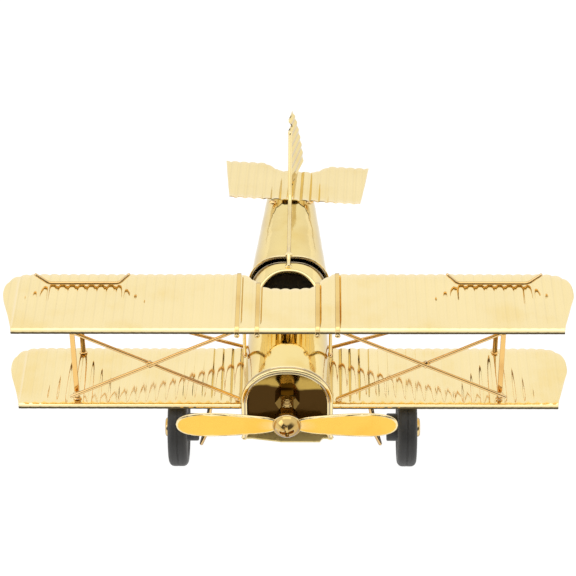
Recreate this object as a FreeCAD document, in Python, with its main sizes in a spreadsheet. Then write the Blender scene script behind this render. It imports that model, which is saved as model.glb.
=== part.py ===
"""Sheet-metal desk model of a biplane, millimetres, +Z up, nose towards -Y.

Everything but the tail skid is drawn in the airframe's own frame, where the upper wing is level
and its ridges lie at Z = 0.  The stance placement then tips the airframe back on its tail, so
that both wheels and the skid's foot stand on Z = 0.
"""
import FreeCAD
import Part
import math
import os

V = FreeCAD.Vector
doc = FreeCAD.newDocument("biplane")
os.makedirs("parts", exist_ok=True)

# ---------------------------------------------------------------- driving dimensions
SIZES = {
    # corrugated sheet
    "sheet_thickness": 0.5,
    "ridge_pitch": 4.66,
    "ridge_rise": 0.3,
    # wings
    "wing_rear_y": 10.2,
    "wing_bend_y": -30.3,
    "lip_radius": 2.6,
    "lip_angle": 70.0,
    "wing_gap": 46.3,
    # fuselage
    "nose_y": -55.0,
    "shell_rear_y": 26.8,
    "nose_half_width": 20.5,
    "rear_half_width": 17.9,
    "nose_top_z": -4.3,
    "rear_top_z": -5.0,
    "belly_z": -45.5,
    "shell_thickness": 0.8,
    "ring_radius": 0.95,
    "front_plate_y": -48.5,
    "plate_thickness": 1.0,
    # tail cone
    "rear_ring_y": 30.0,
    "cone_length": 85.0,
    "cone_front_half_width": 19.3,
    "cone_rear_half_width": 11.2,
    "cone_front_top_z": -5.5,
    "cone_rear_top_z": -14.7,
    "cone_rear_bottom_z": -36.0,
    "cone_thickness": 0.6,
    # propeller and its screw
    "prop_axis_z": -27.0,
    "prop_thickness": 1.2,
    "screw_radius": 3.0,
    "screw_head_radius": 6.2,
    "screw_head_height": 5.2,
    "nut_height": 4.6,
    "nut_flats": 10.0,
    # landing gear
    "axle_radius": 2.0,
    "axle_half_length": 61.6,
    "axle_x": 2.0,
    "axle_y": -22.5,
    "axle_z": -68.8,
    "wheel_radius": 19.2,
    "wheel_width": 9.4,
    "wheel_inner_x": 50.9,
    "boss_radius": 6.75,
    "boss_height": 5.0,
    "cap_radius": 4.65,
    # struts, rods and wires
    "strut_x": 101.5,
    "strut_width": 2.4,
    "strut_depth": 1.2,
    "brace_radius": 0.85,
    "cabane_radius": 0.8,
    "gear_wire_radius": 0.9,
    "spine_radius": 1.0,
    "handle_radius": 0.8,
    "strap_width": 2.1,
    "strap_thickness": 0.8,
    # skid and stance
    "skid_width": 5.0,
    "skid_thickness": 1.2,
    "tail_down_angle": 13.0,
}

sheet = doc.addObject("Spreadsheet::Sheet", "sizes")
for row, (name, value) in enumerate(SIZES.items(), start=1):
    sheet.set("A%d" % row, name)
    sheet.set("B%d" % row, str(value))
    sheet.setAlias("B%d" % row, name)
doc.recompute()


def size(name):
    return float(getattr(sheet, name))


def bind(obj, prop, formula):
    """Drive one property of an object from the sheet."""
    obj.setExpression(prop, formula)


# ---------------------------------------------------------------- shared numbers
THICK = size("sheet_thickness")
PITCH = size("ridge_pitch")
RISE = size("ridge_rise")
HALF_SHEET = RISE + THICK / 2          # from a sheet's mid level to the top of a ridge
CONTACT = 0.03                         # air left between two touching pieces
GAP = size("wing_gap")
REAR_Y = size("wing_rear_y")
BEND_Y = size("wing_bend_y")
LIP_R = size("lip_radius")
NOSE_Y = size("nose_y")
SHELL_REAR_Y = size("shell_rear_y")
BELLY_Z = size("belly_z")
WALL = size("shell_thickness")
RING_R = size("ring_radius")
REAR_RING_Y = size("rear_ring_y")
CONE_Y = REAR_RING_Y + RING_R + CONTACT
CONE_LENGTH = size("cone_length")
AXLE_X = size("axle_x")
AXLE_Y = size("axle_y")
AXLE_Z = size("axle_z")
STRUT_X = size("strut_x")
FRONT_STRUT_Y = -28.0
REAR_STRUT_Y = 6.5
PROP_Z = size("prop_axis_z")

# ---------------------------------------------------------------- stance
TILT = math.radians(size("tail_down_angle"))
SHIFT_Y = -23.6
SHIFT_Z = (size("wheel_radius")
           - AXLE_Z * math.cos(TILT) + AXLE_Y * math.sin(TILT))
STANCE = FreeCAD.Placement(
    V(0, SHIFT_Y, SHIFT_Z),
    FreeCAD.Rotation(V(1, 0, 0), -size("tail_down_angle")))


def to_stance(y, z):
    """Airframe (y, z) to standing (y, z)."""
    p = STANCE.multVec(V(0, y, z))
    return p.y, p.z


nodes = []


def finish(obj, label):
    obj.Label = label
    nodes.append(obj)
    return obj


# ---------------------------------------------------------------- sketch helpers
PLANES = {"XY": 3, "XZ": 4, "YZ": 5}


def new_body(name):
    return doc.addObject("PartDesign::Body", "body_" + name)


def new_sketch(body, plane, offset, geometry):
    """Sketch on one of the body's origin planes, moved along the plane's own normal.

    The normals are +Z for XY, -Y for XZ and +X for YZ.
    """
    sketch = body.newObject("Sketcher::SketchObject", body.Name + "_sketch")
    sketch.AttachmentSupport = [(body.Origin.OriginFeatures[PLANES[plane]], "")]
    sketch.MapMode = "FlatFace"
    sketch.AttachmentOffset = FreeCAD.Placement(V(0, 0, offset), FreeCAD.Rotation())
    sketch.addGeometry(geometry, False)
    return sketch


def add_pad(body, sketch, length, midplane=False, flip=False):
    pad = body.newObject("PartDesign::Pad", body.Name + "_pad")
    pad.Profile = sketch
    if isinstance(length, str):
        bind(pad, "Length", length)
    else:
        pad.Length = length
    pad.Midplane = midplane
    pad.Reversed = flip
    return pad


def cut_through(body, sketch):
    pocket = body.newObject("PartDesign::Pocket", body.Name + "_trim")
    pocket.Profile = sketch
    pocket.Type = 1
    pocket.Midplane = True
    return pocket


def closed(points):
    """Straight edges through the points and back to the first."""
    ring = points + points[:1]
    return [Part.LineSegment(V(*a), V(*b)) for a, b in zip(ring, ring[1:])]


def spline(points):
    curve = Part.BSplineCurve()
    curve.interpolate([V(*p) for p in points])
    return curve


def circle(x, y, radius):
    return Part.Circle(V(x, y, 0), V(0, 0, 1), radius)


def wave(count):
    """Closed outline of a level corrugated strip: half waves as arcs on both sides of the sheet."""
    half = PITCH / 2
    first = -count * half / 2
    last = -first

    def at(u, w):
        return V(u, w, 0)

    edges = []
    for side in (THICK / 2, -THICK / 2):
        for i in range(count):
            u = first + i * half
            swing = RISE if i % 2 == 0 else -RISE
            edges.append(Part.Arc(at(u, side), at(u + half / 2, side + swing), at(u + half, side)))
    for u in (first, last):
        edges.append(Part.LineSegment(at(u, THICK / 2), at(u, -THICK / 2)))
    return edges


def upright_wave(count, start, rise, lean=0.0, lean_zero=0.0):
    """Closed outline of a standing corrugated strip; lean shifts it sideways with its height."""
    half = PITCH / 2

    def at(u, w):
        return (w + lean * (u - lean_zero), u, 0)

    edges = []
    for side in (THICK / 2, -THICK / 2):
        for i in range(count):
            u = start + i * half
            swing = rise if i % 2 == 0 else -rise
            edges.append(spline([at(u, side), at(u + half / 4, side + swing * 0.72),
                                 at(u + half / 2, side + swing),
                                 at(u + half * 3 / 4, side + swing * 0.72), at(u + half, side)]))
    for u in (start, start + count * half):
        edges.append(Part.LineSegment(V(*at(u, THICK / 2)), V(*at(u, -THICK / 2))))
    return edges


def arch(half_width, top, bottom, corner):
    """Inverted U: straight sides, round shoulders and a short flat top, closed at the bottom."""
    side = top - corner
    flat = half_width - corner
    cos45 = math.cos(math.pi / 4) * corner
    return [
        Part.LineSegment(V(-half_width, bottom, 0), V(-half_width, side, 0)),
        Part.Arc(V(-half_width, side, 0), V(-flat - cos45, side + cos45, 0), V(-flat, top, 0)),
        Part.LineSegment(V(-flat, top, 0), V(flat, top, 0)),
        Part.Arc(V(flat, top, 0), V(flat + cos45, side + cos45, 0), V(half_width, side, 0)),
        Part.LineSegment(V(half_width, side, 0), V(half_width, bottom, 0)),
        Part.LineSegment(V(half_width, bottom, 0), V(-half_width, bottom, 0)),
    ]


# ---------------------------------------------------------------- primitive helpers
def cylinder_between(a, b, radius, radius_name=None):
    """Part::Cylinder whose axis runs from a to b, in the airframe's frame."""
    a, b = V(*a), V(*b)
    rod = doc.addObject("Part::Cylinder", "cylinder")
    rod.Height = (b - a).Length
    rod.Radius = radius
    if radius_name:
        bind(rod, "Radius", "sizes." + radius_name)
    rod.Placement = FreeCAD.Placement(a, FreeCAD.Rotation(V(0, 0, 1), b - a))
    return rod


def ball_at(p, radius):
    ball = doc.addObject("Part::Sphere", "ball")
    ball.Radius = radius
    ball.Placement = FreeCAD.Placement(V(*p), FreeCAD.Rotation())
    return ball


def straight_rod(label, a, b, radius_name):
    rod = cylinder_between(a, b, size(radius_name), radius_name)
    rod.Placement = STANCE.multiply(rod.Placement)
    return finish(rod, label)


def bent_wire(label, points, radius_name):
    """Round wire through the points, its bends rounded by a ball at each corner."""
    radius = size(radius_name)
    pieces = [cylinder_between(a, b, radius, radius_name) for a, b in zip(points, points[1:])]
    pieces += [ball_at(p, radius) for p in points[1:-1]]
    wire = doc.addObject("Part::MultiFuse", "wire")
    wire.Shapes = pieces
    wire.Refine = True
    wire.Placement = STANCE
    return finish(wire, label)


def block(x, y, z, dx, dy, dz):
    box = doc.addObject("Part::Box", "block")
    box.Length, box.Width, box.Height = dx, dy, dz
    box.Placement = FreeCAD.Placement(V(x, y, z), FreeCAD.Rotation())
    return box


def subtract(base, tool, label=None):
    cut = doc.addObject("Part::Cut", "cut")
    cut.Base = base
    cut.Tool = tool
    if label:
        cut.Placement = STANCE
        finish(cut, label)
    return cut


def stand(body, label):
    body.Placement = STANCE
    return finish(body, label)


SIDES = (("left", -1), ("right", 1))

# ---------------------------------------------------------------- wings
WING_HALF_WAVES = 118
TIP_FRONT_X = 129.5
TIP_MAX_X = 136.0
FRONT_MARGIN = 6.0                      # the trim starts this far ahead of the bend
TIP_CURVE = [(TIP_FRONT_X, BEND_Y - 1.5), (132.8, -19.0), (135.6, -8.6), (TIP_MAX_X, -2.4),
             (135.0, 2.9), (132.2, 7.1), (127.2, 9.6), (121.0, REAR_Y + 0.01)]
SCOOP_CURVE = [(22.0, 0.0), (18.8, 2.2), (15.6, 5.6), (13.6, 8.8), (10.8, 10.4), (6.0, 11.2),
               (0.0, 11.4)]             # half width and depth of the cut in the rear edge


def wing_outline(with_scoop):
    """Plan outline: straight front, tips leaning out and rounded into the rear edge."""
    front = BEND_Y - FRONT_MARGIN
    end_x, rear = TIP_CURVE[-1]
    edges = [
        Part.LineSegment(V(-TIP_FRONT_X, front, 0), V(TIP_FRONT_X, front, 0)),
        Part.LineSegment(V(TIP_FRONT_X, front, 0), V(*TIP_CURVE[0], 0)),
        spline([(x, y, 0) for x, y in TIP_CURVE]),
    ]
    if with_scoop:
        half_scoop = [(x, rear - depth, 0) for x, depth in SCOOP_CURVE]
        other_half = [(-x, y, 0) for x, y, _ in reversed(half_scoop[:-1])]
        scoop_x = SCOOP_CURVE[0][0]
        edges += [
            Part.LineSegment(V(end_x, rear, 0), V(scoop_x, rear, 0)),
            spline(half_scoop + other_half),
            Part.LineSegment(V(-scoop_x, rear, 0), V(-end_x, rear, 0)),
        ]
    else:
        edges.append(Part.LineSegment(V(end_x, rear, 0), V(-end_x, rear, 0)))
    edges += [
        spline([(-x, y, 0) for x, y in reversed(TIP_CURVE)]),
        Part.LineSegment(V(-TIP_FRONT_X, TIP_CURVE[0][1], 0), V(-TIP_FRONT_X, front, 0)),
    ]
    return edges


def make_wing(label, level, with_scoop):
    body = new_body(label)
    profile = new_sketch(body, "XZ", -REAR_Y, wave(WING_HALF_WAVES))
    add_pad(body, profile, "sizes.wing_rear_y - sizes.wing_bend_y")

    lip_sketch = new_sketch(body, "XZ", -BEND_Y, wave(WING_HALF_WAVES))
    axis = Part.LineSegment(V(-10, -LIP_R, 0), V(10, -LIP_R, 0))
    lip_sketch.addGeometry(axis, True)
    lip = body.newObject("PartDesign::Revolution", "front_lip_" + label)
    lip.Profile = lip_sketch
    lip.ReferenceAxis = (lip_sketch, ["Axis0"])
    bind(lip, "Angle", "sizes.lip_angle")
    lip.Reversed = True
    doc.recompute()
    if lip.Shape.BoundBox.YMin > BEND_Y - 1.0:
        lip.Reversed = False

    frame_edges = closed([(-150, -60, 0), (150, -60, 0), (150, 40, 0), (-150, 40, 0)])
    trim = new_sketch(body, "XY", 0, frame_edges + wing_outline(with_scoop))
    cut_through(body, trim)
    body.Placement = STANCE.multiply(FreeCAD.Placement(V(0, 0, level), FreeCAD.Rotation()))
    return finish(body, label)


make_wing("upper_wing", 0.0, True)
make_wing("lower_wing", -GAP, False)
UNDER_UPPER = -HALF_SHEET - CONTACT
OVER_LOWER = -GAP + HALF_SHEET + CONTACT
UNDER_LOWER = -GAP - HALF_SHEET - CONTACT

# ---------------------------------------------------------------- straps over the upper wing
STRAP_XS = {"outer": 23.6, "inner": 14.2}
STRAP_REARS = {"outer": REAR_Y + 0.4, "inner": REAR_Y - 7.0}    # the inner ones end at the scoop
STRAP_TURN = math.radians(78.0)
STRAP_BEAD_R = 0.95
STRAP_LIFT = HALF_SHEET + CONTACT
for side_name, side in SIDES:
    for place, x in STRAP_XS.items():
        label = "wing_strap_%s_%s" % (side_name, place)
        thickness = size("strap_thickness")
        inner_r = LIP_R + STRAP_LIFT
        outer_r = inner_r + thickness
        turn = STRAP_TURN

        def on_lip(radius, angle):
            return V(BEND_Y - radius * math.sin(angle), radius * math.cos(angle) - LIP_R, 0)

        rear = STRAP_REARS[place]
        strap_edges = [
            Part.LineSegment(V(BEND_Y, STRAP_LIFT, 0), V(rear, STRAP_LIFT, 0)),
            Part.LineSegment(V(rear, STRAP_LIFT, 0), V(rear, STRAP_LIFT + thickness, 0)),
            Part.LineSegment(V(rear, STRAP_LIFT + thickness, 0),
                             V(BEND_Y, STRAP_LIFT + thickness, 0)),
            Part.Arc(V(BEND_Y, STRAP_LIFT + thickness, 0), on_lip(outer_r, turn / 2),
                     on_lip(outer_r, turn)),
            Part.LineSegment(on_lip(outer_r, turn), on_lip(inner_r, turn)),
            Part.Arc(on_lip(inner_r, turn), on_lip(inner_r, turn / 2), V(BEND_Y, STRAP_LIFT, 0)),
        ]
        body = new_body(label)
        strap = new_sketch(body, "YZ", x * side, strap_edges)
        add_pad(body, strap, "sizes.strap_width", midplane=True)
        bead_centre = on_lip((inner_r + outer_r) / 2 + 0.35, turn + 0.12)
        bead = new_sketch(body, "YZ", x * side,
                          [circle(bead_centre.x, bead_centre.y, STRAP_BEAD_R)])
        add_pad(body, bead, "sizes.strap_width + 0.5", midplane=True)
        stand(body, label)

# ---------------------------------------------------------------- wire handles on the upper wing
HANDLE_Y = 2.0
HANDLE_Z = HALF_SHEET + size("handle_radius") + CONTACT
HANDLE_LOW_XS = (81.0, 114.8)           # the straight middle part
HANDLE_END_XS = (75.9, 120.9)
HANDLE_END_RISE = 5.3
for side_name, side in SIDES:
    bent_wire("wing_top_wire_" + side_name,
              [(HANDLE_END_XS[0] * side, HANDLE_Y, HANDLE_Z + HANDLE_END_RISE),
               (HANDLE_LOW_XS[0] * side, HANDLE_Y, HANDLE_Z),
               (HANDLE_LOW_XS[1] * side, HANDLE_Y, HANDLE_Z),
               (HANDLE_END_XS[1] * side, HANDLE_Y, HANDLE_Z + HANDLE_END_RISE)],
              "handle_radius")

# ---------------------------------------------------------------- fuselage shell
NOSE_CORNER = 19.6                      # nearly a full half circle
REAR_CORNER = 15.4
NOSE_W = size("nose_half_width")
REAR_W = size("rear_half_width")


def shell_half_width(y):
    share = (y - NOSE_Y) / (SHELL_REAR_Y - NOSE_Y)
    return NOSE_W + (REAR_W - NOSE_W) * share


def shell_section(y, inset, bottom):
    """Fuselage section at y, drawn in from the outside by inset."""
    share = (y - NOSE_Y) / (SHELL_REAR_Y - NOSE_Y)
    top = size("nose_top_z") + (size("rear_top_z") - size("nose_top_z")) * share
    corner = NOSE_CORNER + (REAR_CORNER - NOSE_CORNER) * share
    return arch(shell_half_width(y) - inset, top - inset, bottom, corner - inset)


shell = new_body("nose_shell")
outer = shell.newObject("PartDesign::AdditiveLoft", "shell_outside")
outer.Profile = new_sketch(shell, "XZ", -NOSE_Y, shell_section(NOSE_Y, 0, BELLY_Z))
outer.Sections = [new_sketch(shell, "XZ", -SHELL_REAR_Y,
                             shell_section(SHELL_REAR_Y, 0, BELLY_Z))]
outer.Ruled = True
doc.recompute()
inner = shell.newObject("PartDesign::SubtractiveLoft", "shell_inside")
inner.Profile = new_sketch(shell, "XZ", -NOSE_Y, shell_section(NOSE_Y, WALL, BELLY_Z - 2))
inner.Sections = [new_sketch(shell, "XZ", -SHELL_REAR_Y,
                             shell_section(SHELL_REAR_Y, WALL, BELLY_Z - 2))]
inner.Ruled = True
doc.recompute()
COCKPIT_Y = 4.8
COCKPIT_HALF_LENGTH = 15.4
COCKPIT_HALF_WIDTH = 15.8
opening = new_sketch(shell, "XY", 0, [
    Part.Ellipse(V(COCKPIT_HALF_WIDTH, COCKPIT_Y, 0), V(0, COCKPIT_Y + COCKPIT_HALF_LENGTH, 0),
                 V(0, COCKPIT_Y, 0))])
cockpit = shell.newObject("PartDesign::Pocket", "cockpit_opening")
cockpit.Profile = opening
cockpit.Length = 20.0
doc.recompute()
stand(shell, "nose_shell")

# ---------------------------------------------------------------- rings at both ends of the shell
REAR_RING_HALF_WIDTH = 18.9
REAR_RING_TOP_Z = -4.1
REAR_RING_CORNER = 15.5


def open_arch(half_width, top, bottom, corner):
    return arch(half_width, top, bottom, corner)[:5]


def make_ring(label, y, half_width, top, corner):
    body = new_body(label)
    spine = new_sketch(body, "XZ", -y, open_arch(half_width, top, BELLY_Z, corner))
    profile = new_sketch(body, "XY", BELLY_Z, [circle(-half_width, y, RING_R)])
    pipe = body.newObject("PartDesign::AdditivePipe", label + "_pipe")
    pipe.Profile = profile
    pipe.Spine = spine
    pipe.Transition = 0
    doc.recompute()
    return stand(body, label)


make_ring("nose_ring", NOSE_Y - RING_R - CONTACT, NOSE_W - 0.1, size("nose_top_z") - 0.1,
          NOSE_CORNER)
make_ring("rear_ring", REAR_RING_Y, REAR_RING_HALF_WIDTH, REAR_RING_TOP_Z, REAR_RING_CORNER)

# ---------------------------------------------------------------- plates inside the shell
PLATE_T = size("plate_thickness")
FRONT_PLATE_Y = size("front_plate_y")
BELLY_TOP = BELLY_Z + WALL
FIT = 0.08                              # air round a plate that sits inside the shell

plate = new_body("front_plate")
plate_edges = shell_section(FRONT_PLATE_Y + PLATE_T, WALL + FIT, BELLY_TOP + CONTACT)
plate_edges.append(circle(0, PROP_Z, size("screw_radius") + CONTACT))
add_pad(plate, new_sketch(plate, "XZ", -FRONT_PLATE_Y - PLATE_T, plate_edges),
        "sizes.plate_thickness")
stand(plate, "front_plate")

bulkhead = new_body("rear_bulkhead")
add_pad(bulkhead, new_sketch(bulkhead, "XZ", -SHELL_REAR_Y + CONTACT,
                             shell_section(SHELL_REAR_Y, WALL + FIT, BELLY_TOP + CONTACT)),
        "sizes.plate_thickness")
stand(bulkhead, "rear_bulkhead")

belly = new_body("belly_plate")
front_w = NOSE_W - WALL - FIT
rear_w = REAR_W - WALL - FIT
TAB_OUT = 19.2                          # the tabs pass just inside the nose ring
TAB_IN = 16.6
TAB_Y = NOSE_Y - 2.2
TONGUE_Y = NOSE_Y - 4.6                 # the front edge is cut slightly aslant
BELLY_END_Y = CONE_Y + 5.0              # the plate runs on into the tail cone
BELLY_END_W = 15.0
belly_edges = closed([(-front_w, NOSE_Y, 0), (-TAB_OUT, NOSE_Y, 0), (-TAB_OUT, TAB_Y, 0),
                      (-TAB_IN, TAB_Y, 0), (-2.5, TONGUE_Y, 0), (15.2, TONGUE_Y, 0),
                      (TAB_IN, TAB_Y, 0), (TAB_OUT, TAB_Y, 0), (TAB_OUT, NOSE_Y, 0),
                      (front_w, NOSE_Y, 0), (rear_w, SHELL_REAR_Y, 0),
                      (BELLY_END_W, SHELL_REAR_Y, 0), (BELLY_END_W, BELLY_END_Y, 0),
                      (-BELLY_END_W, BELLY_END_Y, 0), (-BELLY_END_W, SHELL_REAR_Y, 0),
                      (-rear_w, SHELL_REAR_Y, 0)])
add_pad(belly, new_sketch(belly, "XY", BELLY_Z, belly_edges), "sizes.shell_thickness")
stand(belly, "belly_plate")

# ---------------------------------------------------------------- tail cone
CONE_T = size("cone_thickness")
CONE_FRONT_CORNER = 15.0
CONE_REAR_CORNER = 9.0
CONE_FLOOR_DROP = 0.7                   # lets the belly plate in over the rising floor
CONE_FRONT_BOTTOM_Z = BELLY_Z - CONTACT - CONE_T - CONE_FLOOR_DROP


def along_cone(y, front, rear):
    """Value at y of something that changes evenly from the cone's front to its rear."""
    return front + (rear - front) * (y - CONE_Y) / CONE_LENGTH


def cone_top(y):
    return along_cone(y, size("cone_front_top_z"), size("cone_rear_top_z"))


def cone_bottom(y):
    return along_cone(y, CONE_FRONT_BOTTOM_Z, size("cone_rear_bottom_z"))


def cone_section(y, inset):
    """Closed tube section: flat floor, straight sides and round shoulders, drawn in by inset."""
    half_width = along_cone(y, size("cone_front_half_width"), size("cone_rear_half_width"))
    corner = along_cone(y, CONE_FRONT_CORNER, CONE_REAR_CORNER)
    return arch(half_width - inset, cone_top(y) - inset, cone_bottom(y) + inset, corner - inset)


CONE_END_Y = CONE_Y + CONE_LENGTH
cone = new_body("tail_cone")
for kind, inset, first_y, last_y in (("Additive", 0.0, CONE_Y, CONE_END_Y),
                                     ("Subtractive", CONE_T, CONE_Y, CONE_END_Y - CONE_T)):
    loft = cone.newObject("PartDesign::%sLoft" % kind, "cone_%s_loft" % kind.lower())
    loft.Profile = new_sketch(cone, "XZ", -first_y, cone_section(first_y, inset))
    loft.Sections = [new_sketch(cone, "XZ", -last_y, cone_section(last_y, inset))]
    loft.Ruled = True
    doc.recompute()
stand(cone, "tail_cone")

# ---------------------------------------------------------------- tailplane
TAIL_X = 2.5                            # fixed a little off centre
TAIL_FRONT_Y = 86.6
TAIL_CHORD = 33.8
TAIL_SLOPE = 3.0                        # nose-up, in degrees
TAIL_ROLL = 2.5
TAIL_YAW = 2.0
TAIL_HALF_WAVES = 33
TAIL_LIFT = 0.35                        # room for the roll over the cone's flat top
NOTCH_CURVE = [(17.0, 0.0), (9.0, 6.6), (-9.0, 6.6), (-17.0, 0.0)]
tailplane = new_body("tailplane")
add_pad(tailplane, new_sketch(tailplane, "XZ", -TAIL_CHORD, wave(TAIL_HALF_WAVES)), TAIL_CHORD)
tail_outline = [(-33.6, 0, 0), (33.6, 0, 0), (37.4, TAIL_CHORD - 1.2, 0), (36.6, TAIL_CHORD, 0)]
tail_outline += [(x, TAIL_CHORD - depth, 0) for x, depth in NOTCH_CURVE]
tail_outline += [(-36.6, TAIL_CHORD, 0), (-37.4, TAIL_CHORD - 1.2, 0)]
tail_frame = closed([(-60, -10, 0), (60, -10, 0), (60, 50, 0), (-60, 50, 0)])
cut_through(tailplane, new_sketch(tailplane, "XY", 0, tail_frame + closed(tail_outline)))
TAIL_Z = cone_top(TAIL_FRONT_Y) + HALF_SHEET + TAIL_LIFT
tail_turn = FreeCAD.Rotation(-TAIL_YAW, TAIL_ROLL, -TAIL_SLOPE)     # yaw, pitch, roll about Z, Y, X
tail_place = FreeCAD.Placement(V(TAIL_X, TAIL_FRONT_Y, TAIL_Z), tail_turn)
tailplane.Placement = STANCE.multiply(tail_place)
finish(tailplane, "tailplane")


def tailplane_top(y, x=0.0):
    """Height of the tailplane's ridges at (x, y)."""
    normal = tail_turn.multVec(V(0, 0, 1))
    run = V(x - TAIL_X, y - TAIL_FRONT_Y, 0)
    return TAIL_Z - (normal.x * run.x + normal.y * run.y) / normal.z + HALF_SHEET


# ---------------------------------------------------------------- fin with its turned rudder
RUDDER_TURN = math.radians(14.0)
FOLD_TOP = (120.0, 21.0)                # the fold slants: (y, z) at its upper and lower end
FOLD_FOOT = (98.0, -13.0)
FOLD_OVERLAP = 0.25
FIN_RISE = 0.8
FIN_FRONT_Y = 91.6
FIN_REAR_Y = 124.0
FIN_BOTTOM_Z = -18.0
FIN_HALF_WAVES = 18
FIN_LIFT = 0.35                         # air under the fin's foot
fold_run = (FOLD_TOP[0] - FOLD_FOOT[0]) / (FOLD_TOP[1] - FOLD_FOOT[1])
turn_run = math.tan(RUDDER_TURN)


def fold_y(z):
    return FOLD_FOOT[0] + fold_run * (z - FOLD_FOOT[1])


fin_foot = tailplane_top(FIN_FRONT_Y) + FIN_LIFT
rudder_foot = tailplane_top(FIN_REAR_Y) + FIN_LIFT
fin_edges = [
    Part.LineSegment(V(FIN_FRONT_Y, fin_foot, 0), V(113.2, 12.9, 0)),
    spline([(113.2, 12.9, 0), (116.4, 17.6, 0), (120.0, 20.6, 0), (123.6, 19.6, 0),
            (125.6, 13.0, 0), (126.3, 4.0, 0), (126.0, -4.0, 0), (125.2, -9.0, 0),
            (FIN_REAR_Y, rudder_foot, 0)]),
    Part.LineSegment(V(FIN_REAR_Y, rudder_foot, 0), V(FIN_FRONT_Y, fin_foot, 0)),
]
FIN_BOX = (80.0, -30.0, 150.0, 40.0)    # y and z limits of the trimming frames
fin_frame = closed([(FIN_BOX[0], FIN_BOX[1], 0), (FIN_BOX[2], FIN_BOX[1], 0),
                    (FIN_BOX[2], FIN_BOX[3], 0), (FIN_BOX[0], FIN_BOX[3], 0)])


def beyond_fold(limit_y, overlap):
    """The side of the slanted fold that reaches to limit_y."""
    low, high = FIN_BOX[1] - 5, FIN_BOX[3] + 5
    return closed([(fold_y(low) + overlap, low, 0), (fold_y(high) + overlap, high, 0),
                   (limit_y, high, 0), (limit_y, low, 0)])


fin_half = new_body("fin_half")
add_pad(fin_half, new_sketch(fin_half, "XZ", -FIN_REAR_Y,
                             upright_wave(FIN_HALF_WAVES, FIN_BOTTOM_Z, FIN_RISE)),
        FIN_REAR_Y - FIN_FRONT_Y + 2.0)
doc.recompute()
cut_through(fin_half, new_sketch(fin_half, "YZ", 0, fin_frame + fin_edges))
doc.recompute()
cut_through(fin_half, new_sketch(fin_half, "YZ", 0, beyond_fold(FIN_BOX[2] + 30, FOLD_OVERLAP)))

rudder_half = new_body("rudder_half")
RUDDER_START_Y = FOLD_FOOT[0] - 8.0
lean_zero = FOLD_FOOT[1] + (RUDDER_START_Y - FOLD_FOOT[0]) / fold_run
rudder = add_pad(rudder_half,
                 new_sketch(rudder_half, "XZ", -RUDDER_START_Y,
                            upright_wave(FIN_HALF_WAVES, FIN_BOTTOM_Z, FIN_RISE,
                                         -turn_run * fold_run, lean_zero)),
                 (FIN_REAR_Y - RUDDER_START_Y + 6.0) / math.cos(RUDDER_TURN))
rudder.UseCustomVector = True
rudder.Direction = V(math.sin(RUDDER_TURN), math.cos(RUDDER_TURN), 0)
rudder.AlongSketchNormal = False
doc.recompute()
cut_through(rudder_half, new_sketch(rudder_half, "YZ", 0, fin_frame + fin_edges))
doc.recompute()
cut_through(rudder_half, new_sketch(rudder_half, "YZ", 0,
                                    beyond_fold(FIN_BOX[0] - 30, -FOLD_OVERLAP)))
doc.recompute()
fin = doc.addObject("Part::MultiFuse", "fin")
fin.Shapes = [fin_half, rudder_half]
fin.Placement = STANCE
finish(fin, "fin_and_rudder")

# ---------------------------------------------------------------- wire along the spine
SPINE_R = size("spine_radius")
RISE_Y = TAIL_FRONT_Y - 2.4            # where the wire leaves the cone and climbs the fin
SPINE_END = (111.6, 14.6)
SPINE_FRONT_Y = SHELL_REAR_Y - 4.4
SPINE_FRONT_Z = size("rear_top_z") + SPINE_R + CONTACT
OVER_RING_Z = REAR_RING_TOP_Z + RING_R + SPINE_R + CONTACT
bent_wire("spine_wire",
          [(0, SPINE_FRONT_Y, SPINE_FRONT_Z),
           (0, SHELL_REAR_Y, SPINE_FRONT_Z),
           (0, REAR_RING_Y - 0.4, OVER_RING_Z + CONTACT),
           (0, REAR_RING_Y + 0.6, OVER_RING_Z + CONTACT),
           (0, REAR_RING_Y + 9.0, cone_top(REAR_RING_Y + 9.0) + SPINE_R + 3 * CONTACT),
           (0, RISE_Y, cone_top(RISE_Y) + SPINE_R + 3 * CONTACT),
           (0, SPINE_END[0], SPINE_END[1])],
          "spine_radius")

# ---------------------------------------------------------------- nose screw, nuts, washer
SCREW_R = size("screw_radius")
HEAD_Y = -69.0
HEAD_R = size("screw_head_radius")
HEAD_H = size("screw_head_height")
dome_r = (HEAD_R ** 2 + HEAD_H ** 2) / (2 * HEAD_H)
dome = ball_at((0, HEAD_Y + dome_r - HEAD_H, PROP_Z), dome_r)
dome_block = block(-HEAD_R, HEAD_Y - HEAD_H - 1, PROP_Z - HEAD_R, 2 * HEAD_R, HEAD_H + 1, 2 * HEAD_R)
head = doc.addObject("Part::Common", "head")
head.Base, head.Tool = dome, dome_block
SHANK_BEYOND_NUT = 3.0
SHANK_END_Y = FRONT_PLATE_Y + PLATE_T + size("nut_height") + SHANK_BEYOND_NUT
shank = cylinder_between((0, HEAD_Y - 0.5, PROP_Z), (0, SHANK_END_Y, PROP_Z), SCREW_R,
                         "screw_radius")
screw = doc.addObject("Part::MultiFuse", "screw")
screw.Shapes = [head, shank]
SLOT_W = 1.3
SLOT_L = 6.4
SLOT_D = 1.9
slots = doc.addObject("Part::MultiFuse", "recess")
slots.Shapes = [
    block(-SLOT_L / 2, HEAD_Y - HEAD_H - 1, PROP_Z - SLOT_W / 2, SLOT_L, SLOT_D + 1, SLOT_W),
    block(-SLOT_W / 2, HEAD_Y - HEAD_H - 1, PROP_Z - SLOT_L / 2, SLOT_W, SLOT_D + 1, SLOT_L),
]
subtract(screw, slots, "nose_screw")

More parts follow.
